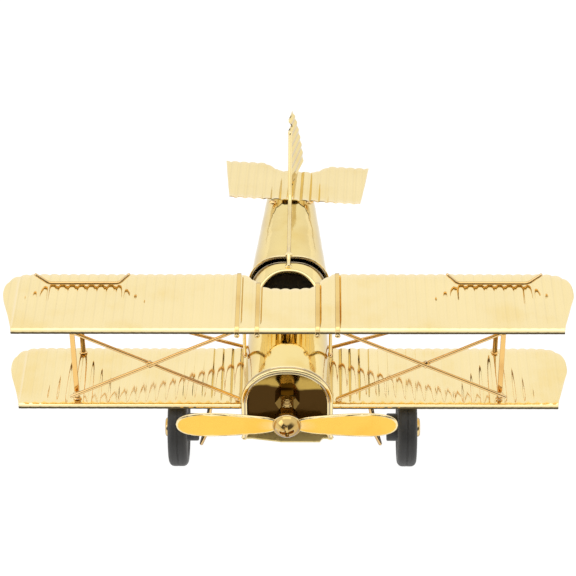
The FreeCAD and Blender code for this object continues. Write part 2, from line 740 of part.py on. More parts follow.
NUT_H = size("nut_height")
NUT_F = size("nut_flats")
WASHER_Y = -67.1
WASHER_T = 1.0
WASHER_R = 5.6
NUT_STARTS = {
    "hub_nut": WASHER_Y + WASHER_T + CONTACT,
    "plate_front_nut": FRONT_PLATE_Y - NUT_H - CONTACT,
    "plate_rear_nut": FRONT_PLATE_Y + PLATE_T + CONTACT,
}
nuts = []
for name, start_y in NUT_STARTS.items():
    prism = doc.addObject("Part::Prism", name + "_prism")
    prism.Polygon = 6
    bind(prism, "Circumradius", "sizes.nut_flats / 2 / cos(30 deg)")
    bind(prism, "Height", "sizes.nut_height")
    prism.Placement = FreeCAD.Placement(V(0, start_y, PROP_Z), FreeCAD.Rotation(V(1, 0, 0), -90))
    chamfer_cone = doc.addObject("Part::Cone", name + "_chamfer")
    chamfer_cone.Radius1, chamfer_cone.Radius2 = NUT_F / 2, NUT_F / 2 + NUT_H * 1.7
    chamfer_cone.Height = NUT_H
    chamfer_cone.Placement = prism.Placement
    chamfered = doc.addObject("Part::Common", name)
    chamfered.Base, chamfered.Tool = prism, chamfer_cone
    hole = cylinder_between((0, start_y - 1, PROP_Z), (0, start_y + NUT_H + 1, PROP_Z),
                            SCREW_R + CONTACT)
    nuts.append(subtract(chamfered, hole))
nut_group = doc.addObject("Part::Compound", "nuts")
nut_group.Links = nuts
nut_group.Placement = STANCE
finish(nut_group, "hex_nuts")

washer_disc = cylinder_between((0, WASHER_Y, PROP_Z), (0, WASHER_Y + WASHER_T, PROP_Z), WASHER_R)
washer_hole = cylinder_between((0, WASHER_Y - 1, PROP_Z), (0, WASHER_Y + WASHER_T + 1, PROP_Z),
                               SCREW_R + CONTACT)
subtract(washer_disc, washer_hole, "propeller_washer")

# ---------------------------------------------------------------- propeller
PROP_T = size("prop_thickness")
PROP_FRONT_Y = HEAD_Y + 0.3
PROP_RADIUS = 51.3
PROP_HUB_R = 6.4
RUNNING_FIT = 0.06
blade = [(5.2, 3.4), (10.0, 4.8), (20.0, 5.9), (30.0, 6.7), (37.0, 6.9), (43.0, 6.5), (47.6, 5.2),
         (50.4, 2.9), (PROP_RADIUS, 0.0)]
upper_half = [(x, z + PROP_Z, 0) for x, z in blade]
lower_half = [(x, PROP_Z - z, 0) for x, z in reversed(blade[:-1])]
right_edge = upper_half + lower_half
left_edge = [(-x, z, 0) for x, z, _ in right_edge]
prop = new_body("propeller")
outlines = [[spline(edge), Part.LineSegment(V(*edge[-1]), V(*edge[0]))]
            for edge in (right_edge, left_edge)]
outlines.insert(1, [circle(0, PROP_Z, PROP_HUB_R)])     # the hub joins the two blades
for outline in outlines:
    add_pad(prop, new_sketch(prop, "XZ", -PROP_FRONT_Y - PROP_T, outline), "sizes.prop_thickness")
bore = new_sketch(prop, "XZ", -PROP_FRONT_Y, [circle(0, PROP_Z, SCREW_R + RUNNING_FIT)])
cut_through(prop, bore)
stand(prop, "propeller")

# ---------------------------------------------------------------- interplane struts
STRUT_W = size("strut_width")
STRUT_D = size("strut_depth")
for side_name, side in SIDES:
    for place, y in (("front", FRONT_STRUT_Y), ("rear", REAR_STRUT_Y)):
        strut = block(STRUT_X * side - STRUT_W / 2, y - STRUT_D / 2, OVER_LOWER,
                      STRUT_W, STRUT_D, UNDER_UPPER - OVER_LOWER)
        bind(strut, "Length", "sizes.strut_width")
        bind(strut, "Width", "sizes.strut_depth")
        strut.Placement = STANCE.multiply(strut.Placement)
        finish(strut, "%s_strut_%s" % (place, side_name))

# ---------------------------------------------------------------- crossed front braces
BRACE_R = size("brace_radius")
BRACE_FRONT_Y = FRONT_STRUT_Y - STRUT_D / 2 - BRACE_R - CONTACT
BRACE_FAR_Y = BRACE_FRONT_Y - 2 * BRACE_R - CONTACT
BRACE_MARGIN = 1.3                      # height left between a brace's end and the wing
BRACE_TOP_Z = UNDER_UPPER - BRACE_MARGIN
BRACE_OUT_X = STRUT_X + 2.6
FALLING = ((BRACE_OUT_X, BRACE_TOP_Z), (23.6, OVER_LOWER + BRACE_MARGIN))
RISING = ((BRACE_OUT_X, -41.8), (25.6, BRACE_TOP_Z))
WELD_R = 1.8


def crossing(first, second):
    """Where two lines in the X-Z plane meet."""
    (x1, z1), (x2, z2) = first
    (x3, z3), (x4, z4) = second
    slope_a = (z2 - z1) / (x2 - x1)
    slope_b = (z4 - z3) / (x4 - x3)
    x = (z3 - z1 + slope_a * x1 - slope_b * x3) / (slope_a - slope_b)
    return x, z1 + slope_a * (x - x1)


for side_name, side in SIDES:
    runs = {"falling": (FALLING, BRACE_FRONT_Y), "rising": (RISING, BRACE_FAR_Y)}
    tools = []
    for run_name, (run, y) in runs.items():
        ends = [(x * side, y, z) for x, z in run]
        straight_rod("front_brace_%s_%s" % (run_name, side_name), ends[0], ends[1],
                     "brace_radius")
        tools.append(cylinder_between(ends[0], ends[1], BRACE_R + CONTACT / 3))
    weld_x, weld_z = crossing(FALLING, RISING)
    weld_ball = ball_at((weld_x * side, (BRACE_FRONT_Y + BRACE_FAR_Y) / 2, weld_z), WELD_R)
    both = doc.addObject("Part::MultiFuse", "both_rods")
    both.Shapes = tools
    subtract(weld_ball, both, "brace_weld_" + side_name)

# ---------------------------------------------------------------- rear braces and cabane rods
REAR_BRACE_Y = REAR_STRUT_Y - STRUT_D / 2 - BRACE_R - CONTACT
CABANE_R = size("cabane_radius")
FRONT_CABANE_Y = -29.3
CABANE_LOW_Z = -18.0
CABANE_SINK = 0.25                      # how far a rod reaches in over the shell's round shoulder
REAR_BRACE_LOW_Z = -41.4
REAR_BRACE_HIGH_Z = -13.0
REAR_BRACE_AIR = 0.2
REAR_BRACE_OUT_X = STRUT_X + 1.6
for side_name, side in SIDES:
    inner_x = shell_half_width(REAR_BRACE_Y) + BRACE_R + REAR_BRACE_AIR
    straight_rod("rear_brace_" + side_name, (inner_x * side, REAR_BRACE_Y, REAR_BRACE_LOW_Z),
                 (REAR_BRACE_OUT_X * side, REAR_BRACE_Y, REAR_BRACE_HIGH_Z), "brace_radius")
    for place, y in (("front", FRONT_CABANE_Y), ("rear", REAR_STRUT_Y)):
        x = (shell_half_width(y) + CABANE_R - CABANE_SINK) * side
        straight_rod("cabane_rod_%s_%s" % (place, side_name), (x, y, CABANE_LOW_Z),
                     (x, y, UNDER_UPPER), "cabane_radius")

# ---------------------------------------------------------------- landing gear
AXLE_R = size("axle_radius")
GEAR_LOW_Z = -80.2
GEAR_LOW_X = 44.2
GEAR_TOP_X = 37.6
GEAR_X = 1.0                            # the pair of wires stands a little off centre
GEAR_TOP_LEAN = 4.0                     # how far each leg's top stands from the axle's plane
GEAR_KNEE = (41.6, 2.85, -71.5)         # x, distance from the axle's plane, z
GEAR_TOP_AIR = 0.16                     # clears the slanted end of each leg
GEAR_TOP_Z = UNDER_LOWER - GEAR_TOP_AIR
for side_name, side in SIDES:
    legs = [[(GEAR_X + GEAR_TOP_X * side, AXLE_Y + way * GEAR_TOP_LEAN, GEAR_TOP_Z),
             (GEAR_X + GEAR_KNEE[0] * side, AXLE_Y + way * GEAR_KNEE[1], GEAR_KNEE[2])]
            for way in (-1, 1)]
    low = (GEAR_X + GEAR_LOW_X * side, AXLE_Y, GEAR_LOW_Z)
    bent_wire("gear_wire_" + side_name, legs[0] + [low] + legs[1][::-1], "gear_wire_radius")

AXLE_END = size("axle_half_length")
straight_rod("axle", (AXLE_X - AXLE_END, AXLE_Y, AXLE_Z), (AXLE_X + AXLE_END, AXLE_Y, AXLE_Z),
             "axle_radius")

WHEEL_R = size("wheel_radius")
WHEEL_X = size("wheel_inner_x")
WHEEL_W = size("wheel_width")
BOSS_R = size("boss_radius")
BOSS_H = size("boss_height")
CAP_R = size("cap_radius")
BORE_R = AXLE_R + RUNNING_FIT
SHOULDER = 2.6
RIM_R = WHEEL_R - 5.0
DISH = 0.9
CAP_AIR = 0.3                           # between the turning wheel and the fixed cap
CAP_DEPTH = 2.6
CAP_ROUND = 1.1
for side_name, side in SIDES:
    x0 = WHEEL_X
    x1 = WHEEL_X + WHEEL_W
    cos45 = math.cos(math.pi / 4) * SHOULDER

    def at(x, r):
        return V(x * side, r, 0)

    wheel_edges = [
        Part.LineSegment(at(x0 - BOSS_H, BORE_R), at(x1 - DISH, BORE_R)),
        Part.LineSegment(at(x1 - DISH, BORE_R), at(x1 - DISH, RIM_R)),
        Part.LineSegment(at(x1 - DISH, RIM_R), at(x1, RIM_R + DISH)),
        Part.LineSegment(at(x1, RIM_R + DISH), at(x1, WHEEL_R - SHOULDER)),
        Part.Arc(at(x1, WHEEL_R - SHOULDER),
                 at(x1 - SHOULDER + cos45, WHEEL_R - SHOULDER + cos45),
                 at(x1 - SHOULDER, WHEEL_R)),
        Part.LineSegment(at(x1 - SHOULDER, WHEEL_R), at(x0 + SHOULDER, WHEEL_R)),
        Part.Arc(at(x0 + SHOULDER, WHEEL_R),
                 at(x0 + SHOULDER - cos45, WHEEL_R - SHOULDER + cos45),
                 at(x0, WHEEL_R - SHOULDER)),
        Part.LineSegment(at(x0, WHEEL_R - SHOULDER), at(x0, RIM_R + DISH)),
        Part.LineSegment(at(x0, RIM_R + DISH), at(x0 + DISH, RIM_R)),
        Part.LineSegment(at(x0 + DISH, RIM_R), at(x0 + DISH, BOSS_R)),
        Part.LineSegment(at(x0 + DISH, BOSS_R), at(x0 - BOSS_H, BOSS_R)),
        Part.LineSegment(at(x0 - BOSS_H, BOSS_R), at(x0 - BOSS_H, BORE_R)),
    ]
    wheel = new_body("wheel_" + side_name)
    wheel_sketch = new_sketch(wheel, "XY", 0, wheel_edges)
    turn = wheel.newObject("PartDesign::Revolution", "wheel_turn_" + side_name)
    turn.Profile = wheel_sketch
    turn.ReferenceAxis = (wheel_sketch, ["H_Axis"])
    turn.Angle = 360
    wheel.Placement = STANCE.multiply(
        FreeCAD.Placement(V(AXLE_X, AXLE_Y, AXLE_Z), FreeCAD.Rotation()))
    finish(wheel, "wheel_" + side_name)

    cap_in = x1 - DISH + CAP_AIR
    cap_out = cap_in + CAP_DEPTH
    cap = new_body("hub_cap_" + side_name)
    round_r = CAP_ROUND
    cap_cos = math.cos(math.pi / 4) * round_r
    cap_edges = [
        Part.LineSegment(at(cap_in, AXLE_R + CONTACT), at(AXLE_END + CONTACT, AXLE_R + CONTACT)),
        Part.LineSegment(at(AXLE_END + CONTACT, AXLE_R + CONTACT), at(AXLE_END + CONTACT, 0)),
        Part.LineSegment(at(AXLE_END + CONTACT, 0), at(cap_out, 0)),
        Part.LineSegment(at(cap_out, 0), at(cap_out, CAP_R - round_r)),
        Part.Arc(at(cap_out, CAP_R - round_r),
                 at(cap_out - round_r + cap_cos, CAP_R - round_r + cap_cos),
                 at(cap_out - round_r, CAP_R)),
        Part.LineSegment(at(cap_out - round_r, CAP_R), at(cap_in, CAP_R)),
        Part.LineSegment(at(cap_in, CAP_R), at(cap_in, AXLE_R + CONTACT)),
    ]
    cap_sketch = new_sketch(cap, "XY", 0, cap_edges)
    cap_turn = cap.newObject("PartDesign::Revolution", "cap_turn_" + side_name)
    cap_turn.Profile = cap_sketch
    cap_turn.ReferenceAxis = (cap_sketch, ["H_Axis"])
    cap_turn.Angle = 360
    cap.Placement = wheel.Placement
    finish(cap, "hub_cap_" + side_name)

# ---------------------------------------------------------------- tail skid, drawn as it stands
SKID_T = size("skid_thickness")
SKID_TOP_Y = 108.0                     # airframe y where the skid leaves the cone
SKID_PAD = 12.0                        # length lying along the underside of the cone
FOOT_LENGTH = 8.0
FOOT_REACH = 6.5                       # how far the foot lies behind the skid's top
skid_y, skid_z = to_stance(SKID_TOP_Y, cone_bottom(SKID_TOP_Y) - CONTACT)
pad_y, pad_z = to_stance(SKID_TOP_Y - SKID_PAD, cone_bottom(SKID_TOP_Y - SKID_PAD) - CONTACT)
foot_y = skid_y + FOOT_REACH
skid_points = [
    (pad_y, pad_z), (skid_y, skid_z), (foot_y, SKID_T),
    (foot_y + FOOT_LENGTH, SKID_T), (foot_y + FOOT_LENGTH, 0), (foot_y - SKID_T * 0.7, 0),
    (skid_y - SKID_T, skid_z - SKID_T * 1.1), (pad_y, pad_z - SKID_T),
]
skid = new_body("tail_skid")
add_pad(skid, new_sketch(skid, "YZ", 0, closed([(y, z, 0) for y, z in skid_points])),
        "sizes.skid_width", midplane=True)
finish(skid, "tail_skid")

# ---------------------------------------------------------------- checks and export
doc.recompute()
problems = []
for obj in doc.Objects:
    if any(word in obj.State for word in ("Invalid", "Error")):
        problems.append("%s: %s" % (obj.Label, obj.State))
for obj in nodes:
    if obj.Shape.isNull() or not obj.Shape.isValid() or not obj.Shape.Solids:
        problems.append("%s: shape is null, invalid or has no solid" % obj.Label)
if problems:
    raise RuntimeError("; ".join(problems))

whole = Part.makeCompound([obj.Shape for obj in nodes]).BoundBox
for obj in nodes:
    obj.Shape.exportStep("parts/%s.step" % obj.Label)
    print("%-26s solids %d  faces %4d  volume %9.1f" % (
        obj.Label, len(obj.Shape.Solids), len(obj.Shape.Faces), obj.Shape.Volume))
print("nodes", len(nodes))
print("box x %.2f %.2f  y %.2f %.2f  z %.2f %.2f" % (
    whole.XMin, whole.XMax, whole.YMin, whole.YMax, whole.ZMin, whole.ZMax))
for name, y, z in (("propeller axis", HEAD_Y, PROP_Z), ("axle", AXLE_Y, AXLE_Z)):
    print(name, "y %.4f z %.4f" % to_stance(y, z))
print("foot y %.3f to %.3f" % (foot_y, foot_y + FOOT_LENGTH))
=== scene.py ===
import bpy
import bmesh
import math
import numpy as np
from mathutils import Matrix, Vector, noise


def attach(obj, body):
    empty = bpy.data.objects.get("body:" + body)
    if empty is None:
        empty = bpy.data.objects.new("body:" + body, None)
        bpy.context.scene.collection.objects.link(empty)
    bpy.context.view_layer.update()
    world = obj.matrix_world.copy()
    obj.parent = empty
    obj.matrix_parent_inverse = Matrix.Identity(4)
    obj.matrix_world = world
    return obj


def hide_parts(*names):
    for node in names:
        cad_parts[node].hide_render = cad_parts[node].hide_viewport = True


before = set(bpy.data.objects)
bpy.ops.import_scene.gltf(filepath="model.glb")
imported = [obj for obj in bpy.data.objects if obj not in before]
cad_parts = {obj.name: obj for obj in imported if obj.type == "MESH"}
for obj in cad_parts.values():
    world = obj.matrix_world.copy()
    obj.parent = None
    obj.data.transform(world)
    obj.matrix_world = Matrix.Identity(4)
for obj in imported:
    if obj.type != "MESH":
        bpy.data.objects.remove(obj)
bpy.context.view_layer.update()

# ---------------------------------------------------------------- design numbers, millimetres
MM = 0.001
TILT = math.radians(13.0)
SHIFT_Y, SHIFT_Z = -23.6, 81.175
STANCE = Matrix.Translation((0, SHIFT_Y, SHIFT_Z)) @ Matrix.Rotation(-TILT, 4, "X")
TO_AIRFRAME = STANCE.inverted()
CONTACT = 0.03                          # air between two touching pieces
SHEET, PITCH, RISE = 0.5, 4.66, 0.30
HALF_WAVE = PITCH / 2
RIDGE = RISE + SHEET / 2                # from a sheet's middle to the top of a ridge
REAR_Y, BEND_Y, LIP_R, LIP_TURN = 10.2, -30.3, 2.6, math.radians(70)
LOWER = -46.3
UNDER_UPPER, UNDER_LOWER = -RIDGE - CONTACT, LOWER - RIDGE - CONTACT
OVER_LOWER = LOWER + RIDGE + CONTACT
WING_HALF_WAVES, TAIL_HALF_WAVES = 118, 33
TIP_FRONT_X, TIP_REAR_X, SCOOP_X = 129.5, 121.0, 22.0
NOSE_Y, SHELL_REAR_Y, BELLY_Z = -55.0, 26.8, -45.5
NOSE_ARCH = (20.5, -4.3, 19.6)          # half width, top and corner of the shell's two ends
REAR_ARCH = (17.9, -5.0, 15.4)
SHELL_T, CONE_T = 0.8, 0.6
RING_R, REAR_RING_Y = 0.95, 30.0
REAR_RING_ARCH = (18.9, -4.1, 15.5)
CONE_Y, CONE_LEN = 30.98, 85.0
CONE_FRONT = (19.3, -5.5, -46.83, 15.0)         # half width, top, bottom and corner
CONE_REAR = (11.2, -14.7, -36.0, 9.0)
TAIL_X, TAIL_FRONT_Y, CHORD = 2.5, 86.6, 33.8
TAIL_YAW, TAIL_ROLL, TAIL_SLOPE = math.radians(2), math.radians(2.5), math.radians(3)
TAIL_LIFT = 0.35
AXLE_X, AXLE_Y, AXLE_Z = 2.0, -22.5, -68.8
AXLE_R, AXLE_HALF = 2.0, 61.6
PROP_Z, SCREW_R, RUNNING_FIT = -27.0, 3.0, 0.06
STRUT_X, FRONT_STRUT_Y, REAR_STRUT_Y = 101.5, -28.0, 6.5
STRUT_W, STRUT_D, BRACE_R, CABANE_R, SPINE_R = 2.4, 1.2, 0.85, 0.8, 1.0
STRAP_W, STRAP_T, HANDLE_R = 2.1, 0.8, 0.8
SIDES = (("left", -1), ("right", 1))


# ---------------------------------------------------------------- mesh helpers
def hum(x, y, z, seed=0.0):
    """Smooth repeatable noise, about -1 to 1."""
    return noise.noise(Vector((x + seed * 17.3, y - seed * 5.1, z + seed * 3.7)))


def placed(verts, place=STANCE):
    pts = np.array(verts, float)
    m = np.array(place)
    return (pts @ m[:3, :3].T + m[:3, 3]) * MM


def piece(name, verts, faces, materials, replaces=(), body="airframe", place=STANCE,
          thickness=0.0, weld=False, sharp=35.0):
    mesh = bpy.data.meshes.new(name)
    mesh.from_pydata(placed(verts, place).tolist(), [], faces)
    obj = bpy.data.objects.new(name, mesh)
    bpy.context.scene.collection.objects.link(obj)
    for material in materials:
        mesh.materials.append(material)
    bm = bmesh.new()
    bm.from_mesh(mesh)
    if weld:
        bmesh.ops.remove_doubles(bm, verts=bm.verts, dist=2e-6)
    bmesh.ops.recalc_face_normals(bm, faces=bm.faces)
    bm.to_mesh(mesh)
    bm.free()
    if thickness:
        solid = obj.modifiers.new("sheet", "SOLIDIFY")
        solid.thickness = thickness * MM
        solid.offset = 0
        solid.material_offset = 1 if len(materials) > 1 else 0
        seen = obj.evaluated_get(bpy.context.evaluated_depsgraph_get())
        obj.data = bpy.data.meshes.new_from_object(seen)
        obj.modifiers.clear()
    obj.data.shade_smooth()
    obj.data.set_sharp_from_angle(angle=math.radians(sharp))
    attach(obj, body)
    if replaces:
        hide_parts(*replaces)
    return obj


def lattice(rows, wrap=False, base=0):
    """Faces of a grid given as rows of points; wrap joins each row's end to its start."""
    n = len(rows[0])
    verts = [p for row in rows for p in row]
    last = n if wrap else n - 1
    faces = [(base + j * n + i, base + j * n + (i + 1) % n,
              base + (j + 1) * n + (i + 1) % n, base + (j + 1) * n + i)
             for j in range(len(rows) - 1) for i in range(last)]
    return verts, faces


def merge(parts):
    verts, faces = [], []
    for more_verts, more_faces in parts:
        start = len(verts)
        verts += list(more_verts)
        faces += [tuple(start + i for i in f) for f in more_faces]
    return verts, faces


def catmull(points, steps=8):
    pts = [np.array(p, float) for p in points]
    pts = [2 * pts[0] - pts[1]] + pts + [2 * pts[-1] - pts[-2]]
    out = []
    for a, b, c, d in zip(pts, pts[1:], pts[2:], pts[3:]):
        for k in range(steps):
            t = k / steps
            out.append(0.5 * (2 * b + (c - a) * t + (2 * a - 5 * b + 4 * c - d) * t * t
                              + (3 * b - a - 3 * c + d) * t ** 3))
    out.append(pts[-2])
    return out


def rounded(points, radius, run=4.0, steps=7):
    """Polyline with each corner rounded, and points about every run mm on its straight parts."""
    pts = [np.array(p, float) for p in points]
    out = [pts[0]]
    for a, b, c in zip(pts, pts[1:], pts[2:]):
        into, away = (a - b), (c - b)
        reach = min(radius, np.linalg.norm(into) * 0.45, np.linalg.norm(away) * 0.45)
        start = b + into / np.linalg.norm(into) * reach
        stop = b + away / np.linalg.norm(away) * reach
        out += [(1 - t) ** 2 * start + 2 * t * (1 - t) * b + t * t * stop
                for t in np.linspace(0, 1, steps)]
    out.append(pts[-1])
    dense = [out[0]]
    for a, b in zip(out, out[1:]):
        count = max(1, int(np.linalg.norm(b - a) / run))
        dense += [a + (b - a) * k / count for k in range(1, count + 1)]
    return dense


def frames_along(path):
    pts = np.array(path, float)
    tangents = np.gradient(pts, axis=0)
    tangents /= np.linalg.norm(tangents, axis=1)[:, None]
    side = np.cross(tangents[0], (0.0, 0.0, 1.0))
    if np.linalg.norm(side) < 0.1:
        side = np.cross(tangents[0], (0.0, 1.0, 0.0))
    sides = []
    for t in tangents:
        side = side - t * side.dot(t)
        side /= np.linalg.norm(side)
        sides.append(side.copy())
    sides = np.array(sides)
    return pts, tangents, sides, np.cross(sides, tangents)


def sweep(path, profile, loop=False, scales=None):
    """Closed profile of (side, up) points carried along a path; open paths get capped ends."""
    pts, _, sides, ups = frames_along(path)
    if scales is None:
        scales = [1.0] * len(pts)
    rows = [[p + (s * u + n * v) * k for u, v in profile]
            for p, s, n, k in zip(pts, sides, ups, scales)]
    if loop:
        rows.append(rows[0])
    verts, faces = lattice(rows, wrap=True)
    if not loop:
        n = len(profile)
        faces.append(tuple(range(n)))
        faces.append(tuple(reversed(range((len(rows) - 1) * n, len(rows) * n))))
    return verts, faces


def disc(radius, count=14, centre=(0.0, 0.0)):
    return [(centre[0] + radius * math.cos(a), centre[1] + radius * math.sin(a))
            for a in np.linspace(0, 2 * math.pi, count, endpoint=False)]


def wire(points, radius, bend=3.0, seed=1.0, wobble=0.05, count=14):
    """Round wire with softly rounded ends and a slight hand-made unevenness."""
    path = rounded(points, bend, run=3.0)
    path = [p + wobble * np.array([hum(*(p / 21), seed), hum(*(p / 19), seed + 1),
                                   hum(*(p / 20), seed + 2)]) for p in path]
    first, last = path[0] - path[1], path[-1] - path[-2]
    first, last = first / np.linalg.norm(first), last / np.linalg.norm(last)
    caps = [(0.0, 0.55), (0.12, 0.8), (0.35, 0.97)]
    head = [path[0] - first * radius * (c - 0.35) for c, _ in caps]
    tail = [path[-1] - last * radius * (c - 0.35) for c, _ in reversed(caps)]
    full = head + path[1:-1] + tail
    scales = [k for _, k in caps] + [1.0] * (len(path) - 2) + [k for _, k in reversed(caps)]
    return sweep(full, disc(radius, count), scales=scales)


def band_profile(width, height, corner, steps=4):
    """Rounded rectangle, width to the side and height upward."""
    out = []
    for cx, cy, start in ((1, 1, 0), (-1, 1, 90), (-1, -1, 180), (1, -1, 270)):
        for k in range(steps + 1):
            a = math.radians(start + 90 * k / steps)
            out.append((cx * (width / 2 - corner) + corner * math.cos(a),
                        cy * (height / 2 - corner) + corner * math.sin(a)))
    return out


def lathe(profile, centre, axis, count=72, close=False):
    """Turns (along, radius) points about an axis through centre."""
    axis = np.array(axis, float) / np.linalg.norm(axis)
    side = np.cross(axis, (0.0, 0.0, 1.0))
    side /= np.linalg.norm(side)
    up = np.cross(side, axis)
    rows = [[np.array(centre) + axis * along + (side * math.cos(a) + up * math.sin(a)) * radius
             for a in np.linspace(0, 2 * math.pi, count, endpoint=False)]
            for along, radius in profile]
    if close:
        rows.append(rows[0])
    return lattice(rows, wrap=True)


def blob(centre, radii, seed, roughness=0.16, rings=9, count=16):
    """Small uneven lump of solder."""
    rows = []
    for j in range(rings + 1):
        lat = math.pi * (j / rings - 0.5)
        row = []
        for i in range(count):
            lon = 2 * math.pi * i / count
            d = np.array([math.cos(lat) * math.cos(lon), math.cos(lat) * math.sin(lon),
                          math.sin(lat)])
            r = 1 + roughness * hum(*(d * 1.6), seed)
            row.append(np.array(centre) + d * r * np.array(radii))
        rows.append(row)
    return lattice(rows, wrap=True)


# ---------------------------------------------------------------- materials
def node_tools(material):
    tree = material.node_tree

    def new(kind, **settings):
        node = tree.nodes.new(kind)
        for key, value in settings.items():
            if key in node.inputs:
                node.inputs[key].default_value = value
            else:
                setattr(node, key, value)
        return node

    return new, tree.links.new


def ramp(new, stops):
    node = new("ShaderNodeValToRGB")
    while len(node.color_ramp.elements) < len(stops):
        node.color_ramp.elements.new(0.5)
    for element, (where, value) in zip(node.color_ramp.elements, stops):
        element.position = where
        element.color = (*value, 1.0) if isinstance(value, tuple) else (value, value, value, 1.0)
    return node


def gold(name, base, deep, smooth, rough, dents=0.05, streak=(1.0, 1.0, 1.0), rim=0.3, wear=0.55,
         painted_low_shade=None):
    """Plated metal: patchy plating colour, smudged gloss, soft dents, fine peel, worn edges.

    rim paints a dark reflection where the surface turns away from the view; the last argument is
    (height, depth, colour) and paints shade below that height.
    """
    material = bpy.data.materials.new(name)
    material.use_nodes = True
    new, link = node_tools(material)
    shader = material.node_tree.nodes["Principled BSDF"]
    shader.inputs["Metallic"].default_value = 1.0
    place = new("ShaderNodeTexCoord").outputs["Object"]
    cloudy = new("ShaderNodeTexNoise", Scale=42.0, Detail=3.0)
    link(place, cloudy.inputs["Vector"])
    tint = ramp(new, [(0.30, deep), (0.48, base), (0.75, tuple(min(1, c * 1.03) for c in base))])
    link(cloudy.outputs["Fac"], tint.inputs["Fac"])
    worn = ramp(new, [(0.50, 0.0), (0.58, wear)])
    link(new("ShaderNodeNewGeometry").outputs["Pointiness"], worn.inputs["Fac"])
    edge = new("ShaderNodeMix", data_type="RGBA")
    link(worn.outputs["Color"], edge.inputs["Factor"])
    link(tint.outputs["Color"], edge.inputs[6])
    edge.inputs[7].default_value = (1.0, 0.86, 0.60, 1)
    # painted reflection: the colour turns dark brown where the surface faces away from the view
    turned = ramp(new, [(0.42, 0.0), (0.80, rim)])
    link(new("ShaderNodeLayerWeight", Blend=0.5).outputs["Facing"], turned.inputs["Fac"])
    outline = new("ShaderNodeMix", data_type="RGBA")
    link(turned.outputs["Color"], outline.inputs["Factor"])
    link(edge.outputs[2], outline.inputs[6])
    outline.inputs[7].default_value = (0.16, 0.075, 0.012, 1)
    colour = outline.outputs[2]
    # painted shade: the colour turns dark below the given height
    if painted_low_shade:
        height, depth, dark = painted_low_shade
        split = new("ShaderNodeSeparateXYZ")
        link(new("ShaderNodeNewGeometry").outputs["Position"], split.inputs[0])
        wavy = new("ShaderNodeMath", operation="MULTIPLY_ADD")
        link(cloudy.outputs["Fac"], wavy.inputs[0])
        wavy.inputs[1].default_value = 0.012
        link(split.outputs["Z"], wavy.inputs[2])
        low = new("ShaderNodeMapRange", interpolation_type="SMOOTHSTEP")
        low.inputs["From Min"].default_value = height + 0.006 + depth
        low.inputs["From Max"].default_value = height + 0.006
        link(wavy.outputs[0], low.inputs["Value"])
        low_shade_mix = new("ShaderNodeMix", data_type="RGBA")
        link(low.outputs["Result"], low_shade_mix.inputs["Factor"])
        link(colour, low_shade_mix.inputs[6])
        low_shade_mix.inputs[7].default_value = (*dark, 1)
        colour = low_shade_mix.outputs[2]
    link(colour, shader.inputs["Base Color"])
    stretch = new("ShaderNodeMapping")
    stretch.inputs["Scale"].default_value = streak
    link(place, stretch.inputs["Vector"])
    smudge = new("ShaderNodeTexNoise", Scale=190.0, Detail=5.0, Roughness=0.6)
    link(stretch.outputs["Vector"], smudge.inputs["Vector"])
    gloss = ramp(new, [(0.36, smooth), (0.72, rough)])
    link(smudge.outputs["Fac"], gloss.inputs["Fac"])
    link(gloss.outputs["Color"], shader.inputs["Roughness"])
    soft = new("ShaderNodeTexNoise", Scale=85.0, Detail=1.0)
    link(place, soft.inputs["Vector"])
    wide = new("ShaderNodeBump", Strength=dents, Distance=0.002)
    link(soft.outputs["Fac"], wide.inputs["Height"])
    peel = new("ShaderNodeTexNoise", Scale=1400.0, Detail=2.0)
    link(stretch.outputs["Vector"], peel.inputs["Vector"])
    fine = new("ShaderNodeBump", Strength=0.10, Distance=0.0001)
    link(peel.outputs["Fac"], fine.inputs["Height"])
    link(wide.outputs["Normal"], fine.inputs["Normal"])
    link(fine.outputs["Normal"], shader.inputs["Normal"])
    return material


def dull(name, base, deep, rough_low, rough_high, grain, strength, metallic=0.0):
    """Rubber, or the dark inside of the fuselage."""
    material = bpy.data.materials.new(name)
    material.use_nodes = True
    new, link = node_tools(material)
    shader = material.node_tree.nodes["Principled BSDF"]
    shader.inputs["Metallic"].default_value = metallic
    place = new("ShaderNodeTexCoord").outputs["Object"]
    cloudy = new("ShaderNodeTexNoise", Scale=110.0, Detail=4.0)
    link(place, cloudy.inputs["Vector"])
    tint = ramp(new, [(0.35, deep), (0.65, base)])
    link(cloudy.outputs["Fac"], tint.inputs["Fac"])
    link(tint.outputs["Color"], shader.inputs["Base Color"])
    gloss = ramp(new, [(0.3, rough_low), (0.7, rough_high)])
    link(cloudy.outputs["Fac"], gloss.inputs["Fac"])
    link(gloss.outputs["Color"], shader.inputs["Roughness"])
    pores = new("ShaderNodeTexNoise", Scale=grain, Detail=3.0)
    link(place, pores.inputs["Vector"])
    bump = new("ShaderNodeBump", Strength=strength, Distance=0.0002)
    link(pores.outputs["Fac"], bump.inputs["Height"])
    link(bump.outputs["Normal"], shader.inputs["Normal"])
    return material


# each material's rim value sets how much painted dark reflection it gets where it faces away from
# the view
SHEET_GOLD = gold("sheet_gold", (0.96, 0.79, 0.42), (0.94, 0.74, 0.34), 0.07, 0.15, 0.05,
                  (1.0, 0.12, 1.0), rim=0.35)
BODY_GOLD = gold("body_gold", (0.94, 0.75, 0.32), (0.88, 0.65, 0.22), 0.06, 0.13, 0.07, rim=0.45)
# painted shade: straps and wires get deeper orange copies of the plating and strong painted dark
# rims
STRAP_GOLD = gold("strap_gold", (0.86, 0.60, 0.19), (0.72, 0.45, 0.11), 0.07, 0.16, 0.06, rim=0.9)
WIRE_GOLD = gold("wire_gold", (0.84, 0.49, 0.12), (0.66, 0.33, 0.06), 0.09, 0.20, 0.08, rim=0.95)
